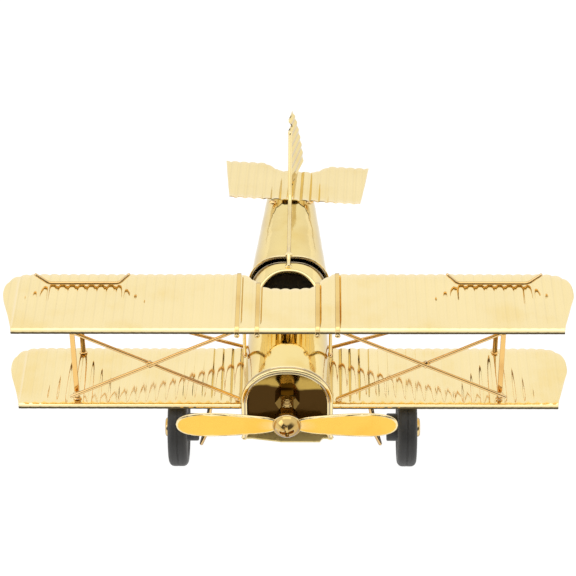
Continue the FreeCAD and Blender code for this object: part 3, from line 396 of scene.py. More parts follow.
# painted shade: near-black colour for the thin rings laid in the grooves of the nose and rear rings
GROOVE_SHADE = gold("painted_groove_shade", (0.07, 0.035, 0.01), (0.04, 0.02, 0.006), 0.12, 0.26, 0.04)
HARD_GOLD = gold("hardware_gold", (0.68, 0.46, 0.15), (0.50, 0.29, 0.07), 0.06, 0.16, 0.04,
                 rim=0.85)
NUT_GOLD = gold("nut_gold", (0.20, 0.12, 0.03), (0.09, 0.05, 0.012), 0.08, 0.20, 0.04, wear=0.0)
# painted shade: the propeller face gets a deep orange copy of the plating; the rim band below keeps
# the paler plating colour
PROP_GOLD = gold("propeller_gold", (0.95, 0.58, 0.10), (0.92, 0.53, 0.08), 0.22, 0.34, 0.03)
RIM_GOLD = gold("propeller_rim_gold", (0.95, 0.78, 0.42), (0.92, 0.72, 0.34), 0.10, 0.2, 0.02)
# painted shade: the front plate in the nose recess gets a much darker gold, and darker still low
# down
SHADED_PLATE_GOLD = gold("inner_plate_painted_shade", (0.50, 0.33, 0.075), (0.34, 0.21, 0.04), 0.10, 0.24, 0.16,
                  wear=0.0, painted_low_shade=(0.0715, 0.0018, (0.065, 0.032, 0.007)))
BELLY_GOLD = dull("belly_gold", (0.86, 0.70, 0.30), (0.74, 0.58, 0.22), 0.22, 0.36, 900, 0.08,
                  metallic=0.3)
DARK = dull("dark_inside", (0.10, 0.082, 0.06), (0.07, 0.056, 0.04), 0.5, 0.7, 900, 0.3)
RUBBER = dull("black_rubber", (0.038, 0.037, 0.034), (0.025, 0.024, 0.022), 0.42, 0.62, 1500, 0.45)


# ---------------------------------------------------------------- corrugated wings
TIP = catmull([(TIP_FRONT_X, -31.8), (132.8, -19.0), (135.6, -8.6), (136.0, -2.4), (135.0, 2.9),
               (132.2, 7.1), (127.2, 9.6), (TIP_REAR_X, REAR_Y)])
SCOOP = catmull([(0.0, 11.4), (6.0, 11.2), (10.8, 10.4), (13.6, 8.8), (15.6, 5.6), (18.8, 2.2),
                 (SCOOP_X, 0.0)])
tip_top = max(range(len(TIP)), key=lambda i: TIP[i][0])
TIP_X = TIP[tip_top][0]


def rear_edge(x, scooped):
    x = abs(x)
    if scooped and x < SCOOP_X:
        return REAR_Y - np.interp(x, [p[0] for p in SCOOP], [p[1] for p in SCOOP])
    if x > TIP_REAR_X:
        branch = TIP[tip_top:][::-1]
        return float(np.interp(x, [p[0] for p in branch], [p[1] for p in branch]))
    return REAR_Y


def front_edge(x):
    branch = TIP[:tip_top + 1]
    return float(np.interp(abs(x), [p[0] for p in branch], [p[1] for p in branch]))


def ridge(x, y, first, rise, seed):
    """Height of the corrugated mid surface, its ridges slightly uneven."""
    shifted = x + 0.22 * hum(x / 13, y / 60, 0.0, seed)
    height = rise * (1 + 0.22 * hum(x / 7, y / 45, 1.0, seed))
    sag = 0.10 * hum(x / 38, y / 30, 2.0, seed)
    swing = math.sin(math.pi * (shifted - first) / HALF_WAVE)
    return height * (1 - 2 * ((1 - swing) / 2) ** 2.2) + sag


def wing(name, level, scooped, seed):
    first = -WING_HALF_WAVES * HALF_WAVE / 2
    columns = list(np.linspace(-TIP_FRONT_X, TIP_FRONT_X, 561))
    beyond = [TIP_FRONT_X + (TIP_X - TIP_FRONT_X) * math.sin(math.pi / 2 * k / 15)
              for k in range(16)]
    beyond[0] += 0.02
    columns = [-x for x in reversed(beyond)] + columns + beyond
    lip_run = LIP_R * LIP_TURN
    rows = []
    lip_rows, flat_rows = 9, 17
    for j in range(lip_rows + flat_rows):
        row = []
        for x in columns:
            end = rear_edge(x, scooped) - BEND_Y
            start = -lip_run if abs(x) <= TIP_FRONT_X + 0.001 else min(front_edge(x) - BEND_Y, end)
            if j < lip_rows:
                s = start + (min(0.0, end) - start) * j / lip_rows if start < 0 else start
            else:
                s = max(0.0, start) + (end - max(0.0, start)) * (j - lip_rows) / (flat_rows - 1)
            # the ridges are pressed flat towards the lip
            pressed = 0.22 + 0.78 * min(1.0, max(0.0, (s + 0.5) / 5.0))
            lift = ridge(x, s, first, RISE * pressed, seed)
            if s >= 0:
                row.append((x, BEND_Y + s, level + lift))
            else:
                a = -s / LIP_R
                r = LIP_R + lift
                row.append((x, BEND_Y - r * math.sin(a), level + r * math.cos(a) - LIP_R))
        rows.append(row)
    verts, faces = lattice(rows)
    return piece(name, verts, faces, [SHEET_GOLD], [name], thickness=SHEET, weld=True)


wing("upper_wing", 0.0, True, 1.0)
wing("lower_wing", LOWER, False, 2.0)

# ---------------------------------------------------------------- straps and wire handles
STRAP_TURN = math.radians(78)
STRAPS = (("outer", 23.6, REAR_Y + 0.4), ("inner", 14.2, REAR_Y - 7.0))
HANDLE_Y, HANDLE_RISE = 2.0, 5.3
HANDLE_XS = (75.9, 81.0, 114.8, 120.9)
for side_name, side in SIDES:
    for place, x, rear in STRAPS:
        mid = RIDGE + CONTACT + STRAP_T / 2
        path = [(x * side, rear - 0.2, mid - 0.5), (x * side, rear - 0.9, mid)]
        path += [(x * side, y, mid + 0.07 * hum(x, y / 5, 0)) for y in
                 np.linspace(rear - 2.0, BEND_Y, 16)]
        for a in np.linspace(0.12, STRAP_TURN, 9):
            r = LIP_R + mid
            path.append((x * side, BEND_Y - r * math.sin(a), r * math.cos(a) - LIP_R))
        band = sweep(path, band_profile(STRAP_W, STRAP_T, 0.3))
        end = path[-1]
        bead = blob((end[0], end[1] + 0.1, end[2] - 0.2), (1.3, 1.0, 1.0), x + side)
        verts, faces = merge([band, bead])
        label = "wing_strap_%s_%s" % (side_name, place)
        piece(label, verts, faces, [STRAP_GOLD], [label])
    z = RIDGE + CONTACT + HANDLE_R
    handle = [(x * side, HANDLE_Y, z + lift)
              for x, lift in zip(HANDLE_XS, (HANDLE_RISE, 0.0, 0.0, HANDLE_RISE))]
    label = "wing_top_wire_" + side_name
    verts, faces = wire(handle, HANDLE_R, bend=1.6, seed=side + 4)
    piece(label, verts, faces, [WIRE_GOLD], [label])


# ---------------------------------------------------------------- fuselage shell
def arch_points(half_width, top, bottom, corner, sides=7, arc=26, flat=9):
    """Inverted U from its left foot over the top to its right foot."""
    shoulder, level = top - corner, half_width - corner
    right = [(level * k / flat, top) for k in range(1, flat + 1)]
    right += [(level + corner * math.sin(math.pi / 2 * k / arc),
               shoulder + corner * math.cos(math.pi / 2 * k / arc)) for k in range(1, arc + 1)]
    right += [(half_width, shoulder + (bottom - shoulder) * k / sides) for k in range(1, sides + 1)]
    return [(-x, z) for x, z in reversed(right)] + [(0.0, top)] + right


def shell_section(y, inset=SHELL_T / 2):
    """Half width, top, bottom and corner of the shell at y; the inset reaches its middle."""
    share = (y - NOSE_Y) / (SHELL_REAR_Y - NOSE_Y)
    half_width, top, corner = (a + (b - a) * share for a, b in zip(NOSE_ARCH, REAR_ARCH))
    return half_width - inset, top - inset, BELLY_Z, corner - inset


def on_shell(index, y):
    x, z = arch_points(*shell_section(y))[index]
    return (x + 0.05 * hum(x / 9, y / 12, z / 9, 5), y, z + 0.06 * hum(x / 9, y / 12, z / 9, 6))


PIT_Y, PIT_L, PIT_W = 4.8, 15.4, 15.8
count = len(arch_points(*shell_section(0)))


def pit_edge(index, sign):
    """Where the cockpit's edge crosses this line of the shell."""
    y = PIT_Y
    for _ in range(12):
        x = arch_points(*shell_section(y))[index][0]
        share = 1 - (x / PIT_W) ** 2
        y = PIT_Y + sign * PIT_L * math.sqrt(share) if share > 0 else PIT_Y
    return y


front_cut = [pit_edge(i, -1) for i in range(count)]
rear_cut = [pit_edge(i, 1) for i in range(count)]
blocks = []
for start, stop, steps in (([NOSE_Y] * count, front_cut, 26),
                           (rear_cut, [SHELL_REAR_Y] * count, 12)):
    blocks.append(lattice([[on_shell(i, start[i] + (stop[i] - start[i]) * j / steps)
                            for i in range(count)] for j in range(steps + 1)]))
verts, faces = merge(blocks)
shell = piece("nose_shell", verts, faces, [BODY_GOLD], ["nose_shell"],
              thickness=SHELL_T, weld=True)
shell.data.materials.append(DARK)
MID_Z = -22.0                           # a height inside the shell, to tell its two sides apart
DARK_FROM_Y = -47.0                     # the inside is dark behind the front plate
for face in shell.data.polygons:
    middle = TO_AIRFRAME @ (face.center / MM)
    outward = Vector((middle.x, 0, middle.z - MID_Z))
    facing = (TO_AIRFRAME.to_3x3() @ face.normal).dot(outward)
    if facing < 0 and middle.y > DARK_FROM_Y:
        face.material_index = 1


def shell_top(x, y):
    half_width, top, _, corner = shell_section(y, 0.0)
    over = abs(x) - (half_width - corner)
    return top if over <= 0 else top - corner + math.sqrt(max(0.0, corner ** 2 - over ** 2))


lip = []
for a in np.linspace(0, 2 * math.pi, 120, endpoint=False):
    x, y = PIT_W * math.cos(a), PIT_Y + PIT_L * math.sin(a)
    lip.append((x, y, shell_top(x, y) - 0.25))
verts, faces = sweep(lip, disc(RING_R), loop=True)
piece("cockpit_lip", verts, faces, [BODY_GOLD])


# ---------------------------------------------------------------- rings
def arch_path(y, half_width, top, corner):
    return [(x, y, z) for x, z in arch_points(half_width, top, BELLY_Z, corner, sides=5, arc=26,
                                              flat=4)]


def darken(obj, parts, which):
    """Gives the second material to the faces of the chosen parts."""
    start = 0
    for number, (_, faces) in enumerate(parts):
        if number in which:
            for face in obj.data.polygons[start:start + len(faces)]:
                face.material_index = 1
        start += len(faces)


nose_beads = [sweep(arch_path(NOSE_Y - RING_R - CONTACT, 20.4, -4.4, 19.5), disc(RING_R)),
              sweep(arch_path(NOSE_Y - RING_R - 0.5, 19.15, -5.65, 18.2), disc(0.5, 10)),
              sweep(arch_path(NOSE_Y + 1.1, 20.75, -4.05, 19.8), disc(0.42, 10)),
              sweep(arch_path(NOSE_Y - RING_R - 0.80, 19.72, -5.08, 18.8), disc(0.42, 8)),
              sweep(arch_path(NOSE_Y + 0.45, 20.80, -4.00, 19.9), disc(0.46, 8))]
for side in (-1, 1):
    nose_beads.append(blob((20.2 * side, NOSE_Y - RING_R, BELLY_Z - 0.2), (1.5, 1.3, 1.1),
                           7 + side))
verts, faces = merge(nose_beads)
ring = piece("nose_ring", verts, faces, [BODY_GOLD, GROOVE_SHADE], ["nose_ring"])
# painted shade: the thin rings in the grooves take the near-black second material
darken(ring, nose_beads, (3, 4))
rear_beads = [sweep(arch_path(REAR_RING_Y, *REAR_RING_ARCH), disc(RING_R)),
              sweep(arch_path(REAR_RING_Y - 0.75, 19.75, -3.3, 16.2), disc(0.34, 10)),
              sweep(arch_path(SHELL_REAR_Y - 0.3, 18.0, -4.9, 15.5), disc(0.4, 10)),
              sweep(arch_path(REAR_RING_Y - 0.95, 19.05, -3.95, 15.6), disc(0.3, 8))]
verts, faces = merge(rear_beads)
ring = piece("rear_ring", verts, faces, [BODY_GOLD, GROOVE_SHADE], ["rear_ring"])
# painted shade: the thin rings in the grooves take the near-black second material
darken(ring, rear_beads, (2, 3))


# ---------------------------------------------------------------- tail cone
def cone_section(y, inset=CONE_T / 2):
    share = (y - CONE_Y) / CONE_LEN
    half_width, top, bottom, corner = (a + (b - a) * share for a, b in zip(CONE_FRONT, CONE_REAR))
    return half_width - inset, top - inset, bottom + inset, corner - inset


def cone_ring(y):
    half_width, top, bottom, corner = cone_section(y)
    over = arch_points(half_width, top, bottom, corner)
    floor = [(half_width * (1 - 2 * k / 10), bottom) for k in range(1, 10)]
    return [(x + 0.12 * hum(x / 8, y / 9, z / 8, 8), y, z + 0.12 * hum(x / 8, y / 9, z / 8, 9))
            for x, z in over + floor]


CONE_STEPS = 44
cone_rows = [cone_ring(CONE_Y + CONE_LEN * k / CONE_STEPS) for k in range(CONE_STEPS + 1)]
verts, faces = lattice(cone_rows, wrap=True)
ring_count = len(cone_rows[0])
faces.append(tuple(range(CONE_STEPS * ring_count, (CONE_STEPS + 1) * ring_count)))
piece("tail_cone", verts, faces, [BODY_GOLD], ["tail_cone"], thickness=CONE_T)

# ---------------------------------------------------------------- tailplane
def cone_top(y):
    return cone_section(y, 0.0)[1]


TAIL_PLACE = STANCE @ Matrix.Translation((TAIL_X, TAIL_FRONT_Y,
                                          cone_top(TAIL_FRONT_Y) + RIDGE + TAIL_LIFT)) \
    @ Matrix.Rotation(-TAIL_YAW, 4, "Z") @ Matrix.Rotation(TAIL_ROLL, 4, "Y") \
    @ Matrix.Rotation(-TAIL_SLOPE, 4, "X")
FRONT_HALF_SPAN, SPAN_GROWTH = 33.6, 3.8
NOTCH = ((0, 9, 17, 99), (6.6, 6.6, 0, 0))      # distance from the middle and depth there
rows = []
for j in range(19):
    row = []
    for x in np.linspace(-1, 1, 181):
        share = j / 18
        px = x * (FRONT_HALF_SPAN + SPAN_GROWTH * share)
        depth = float(np.interp(abs(px), *NOTCH))
        y = (CHORD - depth) * share
        row.append((px, y, ridge(px, y, -TAIL_HALF_WAVES * HALF_WAVE / 2, 0.28, 3.0)))
    rows.append(row)
verts, faces = lattice(rows)
piece("tailplane", verts, faces, [SHEET_GOLD], ["tailplane"], place=TAIL_PLACE,
      thickness=SHEET)

# ---------------------------------------------------------------- fin with its turned rudder
FOOT_Z, FOOT_DROP, FIN_TOP_Z = -10.4, 1.7, 20.4
FOLD_Y, FOLD_Z, FOLD_RUN = 98.0, -13.0, 22.0 / 34.0     # a point on the slanted fold, and its slant
RUDDER_SLOPE = math.tan(math.radians(14))
front_line = catmull([(FOOT_Z, 91.6), (1.2, 102.4), (12.9, 113.2), (17.6, 116.4),
                      (FIN_TOP_Z, 119.6)])
rear_line = catmull([(FOOT_Z - FOOT_DROP, 124.0), (-9.0, 125.2), (-4.0, 126.0), (4.0, 126.3),
                     (13.0, 125.6), (19.6, 123.0), (FIN_TOP_Z, 121.0)])
rows = []
for j in range(91):
    row = []
    for i in range(37):
        share = i / 36
        foot = FOOT_Z - FOOT_DROP * share
        z = foot + (FIN_TOP_Z - foot) * j / 90
        first = np.interp(z, [p[0] for p in front_line], [p[1] for p in front_line])
        last = np.interp(z, [p[0] for p in rear_line], [p[1] for p in rear_line])
        y = first + (last - first) * share
        past = y - (FOLD_Y + FOLD_RUN * (z - FOLD_Z))
        turned = RUDDER_SLOPE * (past + math.sqrt(past * past + 1.2)) / 2
        height = (0.22 + 0.6 * math.exp(-(y - first) / 2.2)) * (1 + 0.2 * hum(y / 12, z / 6, 0, 4))
        row.append((turned + height * math.sin(math.pi * (z + 18) / HALF_WAVE), y, z))
    rows.append(row)
verts, faces = lattice(rows)
piece("fin_and_rudder", verts, faces, [BODY_GOLD], ["fin_and_rudder"],
      thickness=SHEET)

# ---------------------------------------------------------------- spine wire
over_ring = REAR_RING_ARCH[1] + RING_R + SPINE_R + 2 * CONTACT
over_shell = REAR_ARCH[1] + SPINE_R + CONTACT
AFTER_RING_Y, CLIMB_Y = REAR_RING_Y + 9.0, TAIL_FRONT_Y - 2.4
ON_CONE = SPINE_R + 3 * CONTACT
SPINE_END = (0, 111.6, 14.6)
spine = [(0, SHELL_REAR_Y - 4.4, over_shell), (0, SHELL_REAR_Y, over_shell),
         (0, REAR_RING_Y, over_ring), (0, AFTER_RING_Y, cone_top(AFTER_RING_Y) + ON_CONE),
         (0, CLIMB_Y, cone_top(CLIMB_Y) + ON_CONE), SPINE_END]
spots = [blob((0, REAR_RING_Y + 0.2, over_ring - 0.5), (1.9, 1.4, 0.9), 3),
         blob((0, SHELL_REAR_Y - 3.4, -4.7), (1.7, 1.6, 0.8), 4),
         blob((0, 111.0, 14.0), (1.2, 1.6, 1.5), 5)]
verts, faces = merge([wire(spine, SPINE_R, bend=4.0, seed=2, wobble=0.12)] + spots)
piece("spine_wire", verts, faces, [BODY_GOLD], ["spine_wire"])

# ---------------------------------------------------------------- screw, washer, propeller
HEAD_Y, HEAD_R, HEAD_H = -69.0, 6.2, 5.2
FLANGE_R, FLANGE_T = HEAD_R + 0.5, 0.36
RECESS_DEPTH, RECESS_TURN = 1.9, math.radians(8)
THREAD_DEPTH, THREAD_START, THREAD_END = 0.22, 2.2, 29.0
profile = [(0.0, SCREW_R), (0.0, FLANGE_R - 0.08), (-0.1, FLANGE_R), (-0.3, FLANGE_R - 0.08),
           (-FLANGE_T, HEAD_R), (-0.4, HEAD_R)]
for k in range(1, 60):
    r = HEAD_R * (1 - k / 60)
    profile.append((-0.4 - (HEAD_H - 0.4) * (1 - (r / HEAD_R) ** 2) ** 0.82, r))
profile.append((-HEAD_H, 0.02))
verts, faces = lathe(profile, (0, HEAD_Y, PROP_Z), (0, 1, 0), 128)
dented = []
for v in verts:
    a = RECESS_TURN
    dx, dz = v[0], v[2] - PROP_Z
    u, w = abs(dx * math.cos(a) + dz * math.sin(a)), abs(dz * math.cos(a) - dx * math.sin(a))
    arm = min(max(u, w) / 3.4, 1.5), min(u, w) / 0.85
    cut = max(0.0, 1 - arm[0] ** 6) * max(0.0, 1 - arm[1] ** 4) if v[1] < HEAD_Y - 0.5 else 0.0
    dented.append((v[0], v[1] + RECESS_DEPTH * min(1.0, cut * 1.5), v[2]))
shank = [(-0.2, SCREW_R)]
shank += [(y, SCREW_R - THREAD_DEPTH * (0.5 + 0.5 * math.cos(2 * math.pi * y)))
          for y in np.arange(THREAD_START, THREAD_END, 0.125)]
shank += [(THREAD_END + 0.1, 2.4), (THREAD_END + 0.1, 0.02)]
verts, faces = merge([(dented, faces), lathe(shank, (0, HEAD_Y, PROP_Z), (0, 1, 0), 48)])
piece("nose_screw", verts, faces, [HARD_GOLD], ["nose_screw"], sharp=50)

WASHER_Y, WASHER_T, WASHER_R, WASHER_BORE = -67.1, 1.0, 5.6, 3.05
washer = [(0, WASHER_BORE), (0, WASHER_R - 0.15), (0.15, WASHER_R), (WASHER_T - 0.15, WASHER_R),
          (WASHER_T, WASHER_R - 0.15), (WASHER_T, WASHER_BORE)]
verts, faces = lathe(washer, (0, WASHER_Y, PROP_Z), (0, 1, 0), 72, close=True)
piece("propeller_washer", verts, faces, [HARD_GOLD], ["propeller_washer"])

BLADE = catmull([(5.6, 3.5), (10.0, 4.8), (20.0, 5.9), (30.0, 6.7), (37.0, 6.9), (43.0, 6.5),
                 (47.6, 5.2), (50.4, 2.9), (51.3, 0.0)], 10)
HUB_R = 6.4
hub = [(HUB_R * math.sin(a), HUB_R * math.cos(a)) for a in np.linspace(0, math.radians(58), 12)]
quarter = hub + [tuple(p) for p in BLADE if p[0] > 5.9]
outline = quarter + [(x, -z) for x, z in reversed(quarter[:-1])]
outline += [(-x, z) for x, z in reversed(outline[1:-1])]
outline = np.array(outline)
PROP_FRONT, PROP_T, BORE = HEAD_Y + 0.3, 1.2, SCREW_R + RUNNING_FIT
rim_steps = [0.0, 0.10, 0.28, 0.5, 0.75, 1.0, 1.15, 1.6, 2.4]


def prop_face(depth_of):
    rows = []
    for step in rim_steps + [None] * 8:
        row = []
        k = len(rows)
        for p in outline:
            r = np.linalg.norm(p)
            inner = p / r * BORE
            if abs(p[0]) > 8:
                inner = np.array([math.copysign(BORE * math.cos(0.55 * p[1] / 7), p[0]),
                                  BORE * math.sin(0.55 * p[1] / 7)])
            length = np.linalg.norm(inner - p)
            if step is None:
                share = (2.4 + (length - 2.4) * (k - len(rim_steps) + 1) / 8) / length
            else:
                share = min(step / length, 0.9)
            q = p + (inner - p) * share
            row.append(q)
        rows.append(row)
    out = []
    for row in rows:
        line = []
        for q in row:
            d = float(np.min(np.linalg.norm(outline - q, axis=1)))
            line.append((q[0], depth_of(d, q), q[1] + PROP_Z))
        out.append(line)
    return out


def front_depth(d, q):
    rim = 0.42 * max(0.0, 1 - d / 0.95) ** 1.6
    return PROP_FRONT + rim - 0.12 * min(1, d / 5.0)


def back_depth(d, q):
    return PROP_FRONT + PROP_T - 0.3 * max(0.0, 1 - d / 0.95) ** 1.6


face_rows = prop_face(front_depth)
back_rows = list(reversed(prop_face(back_depth)))
verts, faces = lattice(face_rows + back_rows, wrap=True)
n = len(outline)
faces += [(i, (i + 1) % n, (len(face_rows) * 2 - 1) * n + (i + 1) % n,
           (len(face_rows) * 2 - 1) * n + i) for i in range(n)]
prop = piece("propeller", verts, faces, [PROP_GOLD, RIM_GOLD], ["propeller"],
             body="propeller", sharp=40)
RIM_WIDTH = 0.85
# the face inside this rim band carries the painted shade colour
for face in prop.data.polygons:
    c = TO_AIRFRAME @ (face.center / MM)
    if np.min(np.linalg.norm(outline - np.array([c.x, c.z - PROP_Z]), axis=1)) < RIM_WIDTH:
        face.material_index = 1

# ---------------------------------------------------------------- struts, braces and rods
STRUT_PROFILE = band_profile(STRUT_W, STRUT_D, 0.35)
BRACE_Y = FRONT_STRUT_Y - STRUT_D / 2 - BRACE_R - CONTACT
FAR_Y = BRACE_Y - 2 * BRACE_R - CONTACT
BRACE_OUT_X, BRACE_MARGIN = STRUT_X + 2.6, 1.3
BRACE_TOP = UNDER_UPPER - BRACE_MARGIN
FALLING = ((BRACE_OUT_X, BRACE_TOP), (23.6, OVER_LOWER + BRACE_MARGIN))
RISING = ((BRACE_OUT_X, -41.8), (25.6, BRACE_TOP))
REAR_BRACE_Y = REAR_STRUT_Y - STRUT_D / 2 - BRACE_R - CONTACT
REAR_BRACE_LOW_Z, REAR_BRACE_HIGH_Z, REAR_BRACE_OUT_X = -41.4, -13.0, STRUT_X + 1.6
CABANES = (("front", -29.3), ("rear", REAR_STRUT_Y))
CABANE_LOW_Z, CABANE_SINK = -18.0, 0.25
GEAR_X, GEAR_TOP_X, GEAR_LEAN, GEAR_TOP_Z = 1.0, 37.6, 4.0, UNDER_LOWER - 0.16
GEAR_KNEE, GEAR_LOW, GEAR_R = (41.6, 2.85, -71.5), (44.2, -80.2), 0.9


def shell_side(y):
    return shell_section(y, 0.0)[0]


def crossing(first, second):
    """Where two lines in the X-Z plane meet."""
    (x1, z1), (x2, z2) = first
    (x3, z3), (x4, z4) = second
    slope_a, slope_b = (z2 - z1) / (x2 - x1), (z4 - z3) / (x4 - x3)
    x = (z3 - z1 + slope_a * x1 - slope_b * x3) / (slope_a - slope_b)
    return x, z1 + slope_a * (x - x1)


solder = []
for side_name, side in SIDES:
    for place, y in (("front", FRONT_STRUT_Y), ("rear", REAR_STRUT_Y)):
        label = "%s_strut_%s" % (place, side_name)
        path = [(STRUT_X * side, y, z) for z in np.linspace(OVER_LOWER, UNDER_UPPER, 14)]
        verts, faces = sweep(path, STRUT_PROFILE)
        piece(label, verts, faces, [WIRE_GOLD], [label])
        for z in (OVER_LOWER + 0.35, UNDER_UPPER - 0.35):
            solder.append(blob((STRUT_X * side, y, z), (2.0, 1.5, 0.75), side * y + z))
    for run_name, run, y in (("falling", FALLING, BRACE_Y), ("rising", RISING, FAR_Y)):
        label = "front_brace_%s_%s" % (run_name, side_name)
        verts, faces = wire([(x * side, y, z) for x, z in run], BRACE_R, seed=side * y, wobble=0.12)
        piece(label, verts, faces, [WIRE_GOLD], [label])
    x, z = crossing(FALLING, RISING)
    label = "brace_weld_" + side_name
    verts, faces = blob((x * side, (BRACE_Y + FAR_Y) / 2, z), (1.9, 1.65, 1.75), 21 + side, 0.3,
                        14, 24)
    piece(label, verts, faces, [WIRE_GOLD], [label])
    solder += [blob((STRUT_X * side, BRACE_Y, BRACE_TOP - 1.2), (1.6, 1.2, 1.5), 31 + side),
               blob((STRUT_X * side, FAR_Y + 0.7, -41.0), (1.6, 1.4, 1.5), 33 + side),
               blob((26.2 * side, FAR_Y, BRACE_TOP - 0.2), (1.5, 1.1, 0.9), 35 + side),
               blob((24.2 * side, BRACE_Y, OVER_LOWER + 0.9), (1.5, 1.2, 1.0), 37 + side)]

    label = "rear_brace_" + side_name
    inner = shell_side(REAR_BRACE_Y) + BRACE_R + 0.2
    verts, faces = wire([(inner * side, REAR_BRACE_Y, REAR_BRACE_LOW_Z),
                         (REAR_BRACE_OUT_X * side, REAR_BRACE_Y, REAR_BRACE_HIGH_Z)], BRACE_R,
                        seed=side + 9, wobble=0.12)
    piece(label, verts, faces, [WIRE_GOLD], [label])
    solder += [blob((inner * side, REAR_BRACE_Y, -41.2), (1.1, 1.4, 1.4), 41 + side),
               blob((STRUT_X * side, REAR_BRACE_Y + 0.3, -13.5), (1.5, 1.2, 1.3), 43 + side)]
    for place, y in CABANES:
        x = (shell_side(y) + CABANE_R - CABANE_SINK) * side
        label = "cabane_rod_%s_%s" % (place, side_name)
        verts, faces = wire([(x, y, CABANE_LOW_Z), (x, y, UNDER_UPPER)], CABANE_R,
                            seed=side * y + 2, wobble=0.04)
        piece(label, verts, faces, [BODY_GOLD], [label])
        solder += [blob((x, y, -17.0), (1.2, 1.5, 1.5), y + side),
                   blob((x, y, UNDER_UPPER - 0.4), (1.5, 1.4, 0.7), y - side)]

    # landing gear wires
    label = "gear_wire_" + side_name
    legs = [[(GEAR_X + GEAR_TOP_X * side, AXLE_Y + way * GEAR_LEAN, GEAR_TOP_Z),
             (GEAR_X + GEAR_KNEE[0] * side, AXLE_Y + way * GEAR_KNEE[1], GEAR_KNEE[2])]
            for way in (-1, 1)]
    low = (GEAR_X + GEAR_LOW[0] * side, AXLE_Y, GEAR_LOW[1])
    verts, faces = wire(legs[0] + [low] + legs[1][::-1], GEAR_R, bend=1.2, seed=side + 12,
                        wobble=0.0)
    piece(label, verts, faces, [WIRE_GOLD], [label])
    for end_y in (-GEAR_LEAN, GEAR_LEAN):
        solder.append(blob((GEAR_X + GEAR_TOP_X * side, AXLE_Y + end_y, GEAR_TOP_Z + 0.1),
                           (1.8, 1.6, 0.7), end_y + side))
for side in (-1, 1):
    solder.append(blob((9.5 * side + 0.6, 86.8, cone_top(86.8) - 0.5), (1.9, 1.3, 0.9), 51 + side))
verts, faces = merge(solder)
piece("solder_spots", verts, faces, [WIRE_GOLD])

# ---------------------------------------------------------------- axle, wheels and caps
verts, faces = wire([(AXLE_X - AXLE_HALF, AXLE_Y, AXLE_Z), (AXLE_X + AXLE_HALF, AXLE_Y, AXLE_Z)],
                    AXLE_R, seed=15, wobble=0.0, count=28)
piece("axle", verts, faces, [WIRE_GOLD], ["axle"])
X0, X1, BOSS_R, BOSS_H = 50.9, 60.3, 6.75, 5.0
WHEEL_R, TREAD_ROUND, WHEEL_BORE = 19.2, 2.7, AXLE_R + RUNNING_FIT
SEAM = (WHEEL_R - 0.15, WHEEL_R - 0.03)         # the mould seam's foot and top
for side_name, side in SIDES:
    centre = (AXLE_X, AXLE_Y, AXLE_Z)
    rubber = [(X0 - BOSS_H, WHEEL_BORE), (X0 - BOSS_H, BOSS_R - 0.5),
              (X0 - BOSS_H + 0.15, BOSS_R - 0.15),
              (X0 - BOSS_H + 0.5, BOSS_R), (X0 - 0.6, BOSS_R), (X0 + 0.5, BOSS_R + 0.25),
              (X0 + 0.9, BOSS_R + 0.8), (X0 + 0.9, 13.6), (X0 + 0.75, 14.0), (X0 + 0.15, 14.9),
              (X0 + 0.0, 15.4), (X0 + 0.0, 16.4)]
    for k in range(1, 11):
        a = math.pi / 2 * k / 10
        rubber.append((X0 + TREAD_ROUND * (1 - math.cos(a)),
                       WHEEL_R - TREAD_ROUND * (1 - math.sin(a))))
    middle = (X0 + X1) / 2
    rubber += [(middle - 0.45, WHEEL_R), (middle - 0.25, SEAM[0]), (middle - 0.18, SEAM[1]),
               (middle + 0.18, SEAM[1]), (middle + 0.25, SEAM[0]), (middle + 0.45, WHEEL_R)]
    for k in range(11):
        a = math.pi / 2 * (1 - k / 10)
        rubber.append((X1 - TREAD_ROUND * (1 - math.cos(a)),
                       WHEEL_R - TREAD_ROUND * (1 - math.sin(a))))
    rubber += [(X1, 15.4), (X1 - 0.15, 14.9), (X1 - 0.75, 14.0), (X1 - 0.9, 13.6), (X1 - 0.9, 9.2),
               (X1 - 0.75, 9.0), (X1 - 0.6, 8.7), (X1 - 0.75, 8.4), (X1 - 0.9, 8.2),
               (X1 - 0.9, WHEEL_BORE)]
    verts, faces = lathe([(x * side, r) for x, r in rubber], centre, (1, 0, 0), 120, close=True)
    label = "wheel_" + side_name
    piece(label, verts, faces, [RUBBER], [label], body=label, sharp=30)
    inner_x = X1 - 0.6
    cap = [(inner_x, 2.05), (inner_x, 4.4), (inner_x + 0.15, 4.65), (inner_x + 1.5, 4.65),
           (inner_x + 1.95, 4.55), (inner_x + 2.3, 4.25), (inner_x + 2.5, 3.8),
           (inner_x + 2.58, 3.0), (inner_x + 2.6, 1.5), (inner_x + 2.6, 0.02)]
    verts, faces = lathe([(x * side, r) for x, r in cap], centre, (1, 0, 0), 64)
    label = "hub_cap_" + side_name
    piece(label, verts, faces, [HARD_GOLD], [label])

# ---------------------------------------------------------------- CAD nodes kept as they are
for name, material in (("hex_nuts", NUT_GOLD), ("front_plate", SHADED_PLATE_GOLD), ("rear_bulkhead", DARK),
                       ("belly_plate", BELLY_GOLD), ("tail_skid", BELLY_GOLD)):
    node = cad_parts[name]
    node.data.materials.clear()
    node.data.materials.append(material)
    bevel = node.modifiers.new("soft_edges", "BEVEL")
    bevel.width = (0.25 if name == "hex_nuts" else 0.12) * MM
    bevel.segments = 3
    bevel.limit_method = "ANGLE"
    bevel.angle_limit = math.radians(35)

